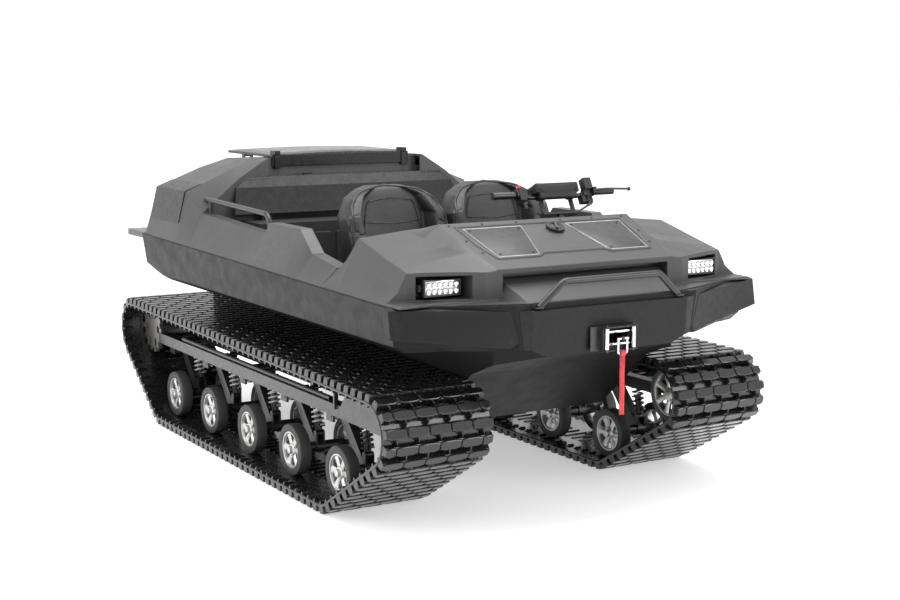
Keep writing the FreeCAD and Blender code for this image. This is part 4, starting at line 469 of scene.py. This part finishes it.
# ---------------------------------------------------------------------------------------------
# Road wheels and idlers
# ---------------------------------------------------------------------------------------------
def spoked_wheel(mesh, centre, face, radius, wide, tyre, spokes, hub, dish, out):
    """Rubber ring, rim and tapered spokes about Y. Face is +1 or -1: the side that the hub cap looks to."""
    half, rim = wide / 2, radius - tyre
    soft = 0.006
    lathe(mesh, [(rim, -half + 0.004), (rim + 0.004, -half), (radius - soft, -half),
                 (radius - soft * 0.3, -half + soft * 0.4),
                 (radius, -half + soft), (radius, half - soft), (radius - soft * 0.3, half - soft * 0.4),
                 (radius - soft, half),
                 (rim + 0.004, half), (rim, half - 0.004)], 56, centre, paint=1)
    lip = 0.006
    lathe(mesh, [(rim - lip, -half + 0.004), (rim + 0.001, -half + 0.004), (rim + 0.001, half - 0.004),
                 (rim - lip, half - 0.004),
                 (rim - lip - 0.004, half - 0.012), (rim - lip - 0.004, -half + 0.012)], 56, centre)
    reach = half - dish
    lathe(mesh, [(0.012, face * (reach - 0.03)), (hub, face * (reach - 0.03)),
                 (hub, face * (reach - 0.004)),
                 (hub - 0.004, face * reach), (hub * 0.66, face * reach), (hub * 0.6, face * out),
                 (hub * 0.36, face * (out + 0.002)), (0.001, face * (out + 0.002)),
                 (0.001, face * (reach - 0.03))], 28, centre)
    for k in range(spokes):
        mesh.verts.ensure_lookup_table()
        begin = len(mesh.verts)
        loops = []
        for share in (0.0, 0.35, 0.7, 1.0):
            r = hub * 0.8 + (rim - lip + 0.001 - hub * 0.8) * share
            side = 0.013 + 0.004 * abs(share - 0.45) + 0.006 * share ** 4
            front = reach - 0.006 + 0.004 * share
            back = front - 0.016
            loops.append([(r, face * back, -side), (r, face * (front - 0.005), -side),
                          (r, face * front, -side * 0.45),
                          (r, face * front, side * 0.45), (r, face * (front - 0.005), side),
                          (r, face * back, side)])
        rings(mesh, loops)
        turned(mesh, begin, Matrix.Translation(centre) @ Matrix.Rotation(2 * math.pi * k / spokes, 4, "Y"))


for side, sign in SIDES:
    for number in WHEELS:
        low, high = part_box(f"road_wheel_{side}_{number}")
        x, z = (low.x + high.x) / 2, (low.z + high.z) / 2
        mesh = bmesh.new()
        for middle, face in ((0.890, sign), (0.600, -sign)):
            spoked_wheel(mesh, (x, sign * middle, z), face, 0.123, 0.060, 0.036, 6, 0.030, 0.008, 0.036)
        wheel = piece(f"wheel.{side}.{number}", mesh, f"wheel_{side}_{number}", [ALLOY, TYRE],
                      smooth=30)
        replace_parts(wheel, f"road_wheel_{side}_{number}")
    low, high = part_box(f"idler_{side}")
    x, z = (low.x + high.x) / 2, (low.z + high.z) / 2
    mesh = bmesh.new()
    for middle, face in ((0.815, sign), (0.594, -sign)):
        spoked_wheel(mesh, (x, sign * middle, z), face, 0.129, 0.046, 0.026, 7, 0.032, 0.004, 0.020)
    lathe(mesh, [(0.001, -0.175), (0.015, -0.175), (0.015, 0.175), (0.001, 0.175)], 20,
          (x, sign * 0.751, z))
    idler = piece(f"idler.{side}.wheels", mesh, f"idler_{side}", [ALLOY, TYRE], smooth=30)
    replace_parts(idler, f"idler_{side}")

# ---------------------------------------------------------------------------------------------
# Coil-over struts, each built from its lower eye to its upper eye
# ---------------------------------------------------------------------------------------------
EYE, TOP_EYE, PIVOT = Vector((0.010, 0.236)), Vector((-0.028, 0.452)), Vector((-0.210, 0.393))
STRUT_Y = 0.767


def strut_mesh(low, high):
    """Damper, rod, spring seats, eyes and coil from the lower eye to the upper one."""
    mesh = bmesh.new()
    long = (high - low).length
    coil, wire, turns, start, end = 0.0265, 0.0047, 6.5, 0.040, long - 0.030
    steps = int(turns * 20)
    tube(mesh, [(coil * math.cos(2 * math.pi * turns * i / steps),
                 coil * math.sin(2 * math.pi * turns * i / steps),
                 start + (end - start) * i / steps) for i in range(steps + 1)], wire, 8, paint=0)
    for radius, a, b, paint in ((0.0165, 0.014, 0.110, 1), (0.0065, 0.108, long - 0.012, 2),
                                (0.032, 0.030, 0.037, 1),
                                (0.033, long - 0.030, long - 0.022, 1), (0.020, 0.104, 0.112, 2)):
        loops = [[(r * math.cos(2 * math.pi * k / 20), r * math.sin(2 * math.pi * k / 20),
                   z) for k in range(20)]
                 for r, z in ((radius - 0.001, a), (radius, a + 0.001), (radius, b - 0.001),
                              (radius - 0.001, b))]
        rings(mesh, loops, paint=paint)
    for z in (0.0, long):
        lathe(mesh, [(0.0082, -0.013), (0.015, -0.013), (0.015, 0.013), (0.0082, 0.013)], 20, (0, 0, z),
              paint=1)
    stood(mesh, 0, low, (0, 0, 1), high - low)
    return mesh


struts = []
for side, sign in SIDES:
    for number in WHEELS:
        low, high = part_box(f"road_wheel_{side}_{number}")
        x = (low.x + high.x) / 2
        foot = Vector((x + EYE.x, sign * STRUT_Y, EYE.y))
        head = Vector((x + TOP_EYE.x, sign * STRUT_Y, TOP_EYE.y))
        coil_paint = SPRING_DARK if number == 1 else SPRING
        strut = piece(f"strut.{side}.{number}", strut_mesh(foot, head), "chassis",
                      [coil_paint, LAMP, CHROME], smooth=40)
        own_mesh(strut)
        struts.append(strut)
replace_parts(struts[0], "coilovers")


# ---------------------------------------------------------------------------------------------
# Hood ridge and covers, filler cap and lamp faces
# ---------------------------------------------------------------------------------------------
DASH, HOOD_FRONT = (1.130, 1.279), (1.539, 1.121)
SLOPE = math.atan2(DASH[1] - HOOD_FRONT[1], HOOD_FRONT[0] - DASH[0])
HOOD_UP = Vector((math.sin(SLOPE), 0, math.cos(SLOPE)))


def on_hood(x, y, lift=0.0):
    """A point over the sloping hood."""
    return Vector((x, y, DASH[1] - (x - DASH[0]) * math.tan(SLOPE))) + HOOD_UP * lift


def ridge(mesh, points, up, half, tall, closed=False, paint=0):
    """A low rounded bead along points."""
    points = [Vector(p) for p in points]
    count = len(points)
    loops = []
    for i, here in enumerate(points):
        before = points[i - 1] if closed or i else here
        after = points[(i + 1) % count] if closed or i < count - 1 else here
        along = (after - here).normalized() + (here - before).normalized()
        across = up.cross(along).normalized()
        loops.append([here + across * (half * a) + up * (tall * b) for a, b in
                      ((-1, -0.5), (-0.92, 0.3), (-0.6, 0.8), (-0.2, 1.0), (0.2, 1.0), (0.6, 0.8),
                       (0.92, 0.3), (1, -0.5))])
    rings(mesh, loops, closed=closed, caps=not closed, paint=paint)


def slab(mesh, corners, up, low, high, edge, paint=0):
    """A thin raised panel over a flat outline, with a chamfered border."""
    corners = [Vector(c) for c in corners]
    middle = sum(corners, Vector()) / len(corners)
    loops = []
    for lift, draw in ((low, 0.0), (high - edge * 0.5, 0.0), (high, edge)):
        ring = []
        for i, c in enumerate(corners):
            before, after = corners[i - 1], corners[(i + 1) % len(corners)]
            inward = ((before - c).normalized() + (after - c).normalized())
            inward = inward.normalized() if inward.length > 1e-4 else (middle - c).normalized()
            if inward.dot(middle - c) < 0:
                inward = -inward
            ring.append(c + inward * draw * 1.2 + up * lift)
        loops.append(ring)
    rings(mesh, loops, paint=paint)


hood = bmesh.new()
border = [(1.168, 0.448), (1.330, 0.436), (1.452, 0.404), (1.452, 0.196), (1.428, 0.160)]
outline = [on_hood(x, y) for x, y in border] + [on_hood(x, -y) for x, y in reversed(border)]
ridge(hood, outline, HOOD_UP, 0.011, 0.006, closed=True)
for sign in (-1, 1):
    for x, y in ((1.150, 0.470), (1.150, 0.300), (1.150, 0.120), (1.395, 0.448), (1.290, 0.466)):
        screw(hood, on_hood(x, sign * y), HOOD_UP, 0.006, 0.003, paint=1)
piece("hood.ridge", hood, "chassis", [DECK, LAMP], smooth=50)

covers = bmesh.new()
for sign in (-1, 1):
    trapezoid = [(1.192, 0.122), (1.192, 0.424), (1.443, 0.398), (1.443, 0.190)]
    corners = [on_hood(x, sign * y) for x, y in trapezoid]
    slab(covers, corners, HOOD_UP, -0.001, 0.0042, 0.003)
    # the bead round each cover takes the painted highlight material
    ridge(covers, corners, HOOD_UP, 0.0035, 0.0052, closed=True, paint=1)
    for x, y in ((1.208, 0.144), (1.208, 0.400), (1.425, 0.378), (1.425, 0.210)):
        screw(covers, on_hood(x, sign * y, 0.004), HOOD_UP, 0.0065, 0.003, paint=2)
covers = piece("hood.covers", covers, "chassis", [PANEL, COVER_BEAD_HIGHLIGHT, LAMP], smooth=40)
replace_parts(covers, "service_covers")

cap = bmesh.new()
lathe(cap, [(0.001, 0.0), (0.043, 0.0), (0.043, 0.012), (0.041, 0.0145), (0.036, 0.0145), (0.034, 0.012),
            (0.030, 0.012), (0.028, 0.015),
            (0.024, 0.016), (0.022, 0.013), (0.018, 0.013), (0.001, 0.0135)], 48)
for k in range(24):
    begin = len(cap.verts)
    block(cap, (0.0405, 0.002, -0.0016), (0.0438, 0.0125, 0.0016))
    turned(cap, begin, Matrix.Rotation(2 * math.pi * k / 24, 4, "Y"))
block(cap, (-0.034, 0.011, -0.006), (0.034, 0.0215, 0.006), taper=(0.002, 0.0015))
stood(cap, 0, on_hood(1.228, 0.040, 0.0012), (0, 1, 0), HOOD_UP)
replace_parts(piece("hood.cap", cap, "cap", LAMP, smooth=35), "fuel_cap")

lamp_low, lamp_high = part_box("headlight_left")
LAMP_MID = (lamp_low + lamp_high) / 2
for side, sign in SIDES:
    mesh = bmesh.new()
    x, y0, z0 = lamp_high.x, sign * LAMP_MID.y, LAMP_MID.z
    slab(mesh, [(x, y0 - 0.080, z0 - 0.030), (x, y0 + 0.080, z0 - 0.030), (x, y0 + 0.080, z0 + 0.030),
                (x, y0 - 0.080, z0 + 0.030)],
         Vector((1, 0, 0)), -0.001, 0.0008, 0.001, paint=1)
    ridge(mesh, [(x, y0 - 0.086, z0 - 0.034), (x, y0 + 0.086, z0 - 0.034), (x, y0 + 0.086, z0 + 0.034),
                 (x, y0 - 0.086, z0 + 0.034)],
          Vector((1, 0, 0)), 0.0045, 0.006, closed=True)
    for row in (-1, 1):
        for column in range(6):
            begin = len(mesh.verts)
            lathe(mesh, [(0.0035, 0.0005), (0.0095, 0.0045), (0.0122, 0.0052), (0.0126, 0.001),
                         (0.0035, -0.001)], 18, paint=1)
            lathe(mesh, [(0.0001, -0.001), (0.0088, -0.001), (0.0088, 0.003), (0.006, 0.0052),
                         (0.0001, 0.0058)], 14, paint=2)
            at = Vector((x, y0 + (column - 2.5) * 0.0262, z0 + row * 0.0136))
            stood(mesh, begin, at, (0, 1, 0), (1, 0, 0))
    piece(f"lamp.{side}.face", mesh, f"light_bar_{side}", [LAMP, CHROME, LENS], smooth=40)

# ---------------------------------------------------------------------------------------------
# Seats, bar pad and strap
# ---------------------------------------------------------------------------------------------
def swollen(name, source, scale, voxel, most, pressure=4.0):
    """A padded copy of a CAD solid: blown up as cloth from a smaller shape, by no more than a limit."""
    mesh = source.data.copy()
    low = Vector([min(v.co[i] for v in mesh.vertices) for i in range(3)])
    high = Vector([max(v.co[i] for v in mesh.vertices) for i in range(3)])
    middle = (low + high) / 2
    for vertex in mesh.vertices:
        offset = vertex.co - middle
        vertex.co = middle + Vector([offset[i] * scale[i] for i in range(3)])
    made = bpy.data.objects.new(name, mesh)
    bpy.context.scene.collection.objects.link(made)
    net = made.modifiers.new("net", "REMESH")
    net.mode, net.voxel_size = "VOXEL", voxel
    bpy.context.view_layer.update()
    mesh = bpy.data.meshes.new_from_object(made.evaluated_get(bpy.context.evaluated_depsgraph_get()))
    made.modifiers.clear()
    made.data = mesh
    start = [v.co.copy() for v in mesh.vertices]
    cloth = made.modifiers.new("cloth", "CLOTH")
    cloth.settings.use_pressure = True
    cloth.settings.uniform_pressure_force = pressure
    cloth.settings.effector_weights.gravity = 0
    for frame_number in range(1, 21):
        bpy.context.scene.frame_set(frame_number)
    final = bpy.data.meshes.new_from_object(made.evaluated_get(bpy.context.evaluated_depsgraph_get()))
    made.modifiers.clear()
    for vertex, first in zip(final.vertices, start):
        move = vertex.co - first
        if move.length > most:
            vertex.co = first + move.normalized() * most
    made.data = final
    bpy.context.scene.frame_set(1)
    finer = made.modifiers.new("finer", "SUBSURF")
    finer.levels = finer.render_levels = 1
    bpy.context.view_layer.update()
    final = bpy.data.meshes.new_from_object(made.evaluated_get(bpy.context.evaluated_depsgraph_get()))
    bpy.data.objects.remove(made)
    return final


def on_front(tree, points, start=1.4, lift=0.0):
    """The points of a (y, z) line laid on the front of a shape, with the misses left out."""
    laid = []
    for y, z in points:
        hit = tree.ray_cast(Vector((start, y, z)), Vector((-1, 0, 0)))
        if hit[0]:
            laid.append(hit[0] + Vector((lift, 0, 0)))
    return laid


def between(points, steps=10):
    """A smooth line through (y, z) points."""
    line = []
    for i in range(len(points) - 1):
        ends = [Vector(points[max(0, min(len(points) - 1, i + k))]) for k in (-1, 0, 1, 2)]
        for n in range(steps):
            t = n / steps
            bend = 2 * ends[0] - 5 * ends[1] + 4 * ends[2] - ends[3]
            twist = 3 * ends[1] - ends[0] - 3 * ends[2] + ends[3]
            line.append(0.5 * (2 * ends[1] + (ends[2] - ends[0]) * t + bend * t ** 2 + twist * t ** 3))
    return line + [Vector(points[-1])]


SEAT_ROLL = [(-0.262, 0.985), (-0.264, 1.120), (-0.258, 1.225), (-0.228, 1.312), (-0.150, 1.366),
             (0.0, 1.386)]
SEAT_SEAMS = [
    [(-0.165, 0.985), (-0.160, 1.150), (-0.138, 1.275), (-0.120, 1.315)],
    [(-0.120, 1.315), (0.0, 1.326), (0.120, 1.315)],
    [(-0.150, 1.215), (0.0, 1.205), (0.150, 1.215)], [(-0.160, 1.085), (0.0, 1.072), (0.160, 1.085)],
]
SEAT_Y = 0.290
cushion = swollen("seat.shape", NODES["seat_left"], (0.955, 0.965, 0.972), 0.006, 0.010)
for side, sign in SIDES:
    made = cushion.copy()
    made.transform(Matrix.Translation((0, (sign - 1) * SEAT_Y, 0)))
    hull = BVHTree.FromPolygons([v.co for v in made.vertices], [p.vertices for p in made.polygons])
    made.materials.clear()
    seat = piece(f"seat.{side}", made, "chassis", VINYL, smooth=0)
    made.shade_smooth()
    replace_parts(seat, f"seat_{side}")
    middle_y = sign * SEAT_Y
    trim = bmesh.new()
    roll = between(SEAT_ROLL, 8)
    roll = roll + [Vector((-p.x, p.y)) for p in reversed(roll[:-1])]
    tube(trim, on_front(hull, [(middle_y + p.x, p.y) for p in roll], lift=-0.002), 0.0075, 10)
    for seam in SEAT_SEAMS:
        mirrored = [seam] if seam[0][0] == -seam[-1][0] else [seam, [(-y, z) for y, z in seam]]
        for line in mirrored:
            laid = on_front(hull, [(middle_y + p.x, p.y) for p in between(line, 12)], lift=0.0006)
            tube(trim, laid, 0.0028, 6)
            upright = line[0][0] == line[-1][0] or len(line) > 3
            for shift in (-0.007, 0.007):
                beside = shift if upright else 0
                above = 0 if len(line) > 3 else shift
                stitched = on_front(hull, [(middle_y + p.x + beside, p.y + above) for p in between(line, 16)],
                                    lift=0.0008)
                for a, b in list(zip(stitched, stitched[1:]))[::2]:
                    tube(trim, [a, b], 0.0009, 5, paint=1)
    piece(f"seat.{side}.seams", trim, "chassis", [PIPING, THREAD], smooth=60)

pad = swollen("bar.pad", NODES["handlebar_pad"], (0.94, 0.97, 0.94), 0.004, 0.003)
pad.materials.clear()
pad = piece("bar.pad", pad, "steering", FOAM, smooth=0)
pad.data.shade_smooth()
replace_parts(pad, "handlebar_pad")

STRAP_X, STRAP_Y, STRAP_TOP, STRAP_LOW, STRAP_WIDE = 1.774, 0.015, 0.760, 0.492, 0.026
route = bpy.data.curves.new("strap_route", "CURVE")
route.dimensions = "3D"
line = route.splines.new("NURBS")
strap_points = [(STRAP_X, STRAP_TOP), (STRAP_X + 0.001, 0.715), (STRAP_X - 0.002, 0.660),
                (STRAP_X + 0.002, 0.600),
                (STRAP_X - 0.001, 0.545), (STRAP_X, STRAP_LOW)]
line.points.add(len(strap_points) - 1)
for point, (x, z) in zip(line.points, strap_points):
    point.co = (x, STRAP_Y, z, 1)
line.order_u, line.use_endpoint_u = 3, True
guide = bpy.data.objects.new("strap_route", route)
scene_path = [v.co.copy() for v in bpy.data.meshes.new_from_object(guide).vertices]
bpy.data.objects.remove(guide)
web = bmesh.new()
loops = []
for i, at in enumerate(scene_path):
    half, thick = STRAP_WIDE / 2, 0.0022
    loops.append([at + Vector((thick * a, half * b, 0)) for a, b in
                  ((1, -0.90), (1, -0.3), (1, 0.3), (1, 0.90), (0.3, 1), (-0.3, 1), (-1, 0.90), (-1, 0.3),
                   (-1, -0.3), (-1, -0.90),
                   (-0.3, -1), (0.3, -1))])
rings(web, loops)
strap = piece("strap.web", web, "strap", RED, smooth=50)
eye = bmesh.new()
loops = []
for k in range(28):
    turn = 2 * math.pi * k / 28
    out = Vector((math.cos(turn), 0, math.sin(turn)))
    centre = Vector((STRAP_X, STRAP_Y, STRAP_TOP))
    loops.append([centre + out * r + Vector((0, w, 0)) for r, w in
                  ((0.0090, -0.0125), (0.0118, -0.0125), (0.0118, 0.0125), (0.0090, 0.0125))])
rings(eye, loops, closed=True)
block(eye, (STRAP_X - 0.0036, STRAP_Y - 0.0115, 0.706), (STRAP_X + 0.0036, STRAP_Y + 0.0115, 0.744))
for row in range(4):
    for lean in (-1, 1):
        tube(eye, [(STRAP_X + 0.0038, STRAP_Y - 0.0095 * lean, 0.710 + row * 0.008),
                   (STRAP_X + 0.0038, STRAP_Y + 0.0095 * lean, 0.718 + row * 0.008)],
             0.0006, 5, paint=1)
eye = piece("strap.eye", eye, "strap", [RED, THREAD], smooth=50)
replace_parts(strap, "hook_strap")


# ---------------------------------------------------------------------------------------------
# Stage, camera and light
# ---------------------------------------------------------------------------------------------
scene = bpy.context.scene
scene.view_settings.view_transform = "Standard"
floor_mesh = bpy.data.meshes.new("floor")
floor_mesh.from_pydata([(-60, -60, 0), (60, -60, 0), (60, 60, 0), (-60, 60, 0)], [], [(0, 1, 2, 3)])
floor = bpy.data.objects.new("floor", floor_mesh)
scene.collection.objects.link(floor)
floor_paint, tree, shader = graph("floor_paper")
shader.inputs["Base Color"].default_value = (0.86, 0.86, 0.86, 1)
shader.inputs["Roughness"].default_value = 0.9
shader.inputs["Emission Color"].default_value = (1, 1, 1, 1)
shader.inputs["Emission Strength"].default_value = 0.45
floor_mesh.materials.append(floor_paint)

world = bpy.data.worlds.new("studio")
scene.world = world
world.use_nodes = True
world.node_tree.nodes["Background"].inputs["Color"].default_value = (1, 1, 1, 1)
world.node_tree.nodes["Background"].inputs["Strength"].default_value = 1.0


def softbox(name, at, toward, width, height, power):
    light = bpy.data.lights.new(name, "AREA")
    light.shape = "RECTANGLE"
    light.size, light.size_y, light.energy = width, height, power
    made = bpy.data.objects.new(name, light)
    scene.collection.objects.link(made)
    made.location = at
    made.rotation_euler = (Vector(toward) - Vector(at)).to_track_quat("-Z", "Y").to_euler()


softbox("top_box", (0.6, 0.0, 5.2), (0.2, 0, 0.8), 5.0, 3.4, 260)
softbox("front_box", (6.5, 3.4, 3.4), (0.8, 0, 0.8), 3.0, 2.6, 120)
softbox("side_box", (-1.5, -6.5, 3.0), (0, 0, 0.8), 5.0, 2.4, 110)

CAMERA_AT, CAMERA_YAW, CAMERA_PITCH, CAMERA_LENS = (6.917, -3.915, 1.940), 149.11, 8.43, 61.56
camera_data = bpy.data.cameras.new("camera")
camera_data.lens, camera_data.sensor_width = CAMERA_LENS, 36.0
camera = bpy.data.objects.new("camera", camera_data)
scene.collection.objects.link(camera)
yaw, pitch = math.radians(CAMERA_YAW), math.radians(CAMERA_PITCH)
heading = Vector((math.cos(yaw) * math.cos(pitch), math.sin(yaw) * math.cos(pitch), -math.sin(pitch)))
camera.location = CAMERA_AT
camera.rotation_euler = heading.to_track_quat("-Z", "Y").to_euler()
scene.camera = camera
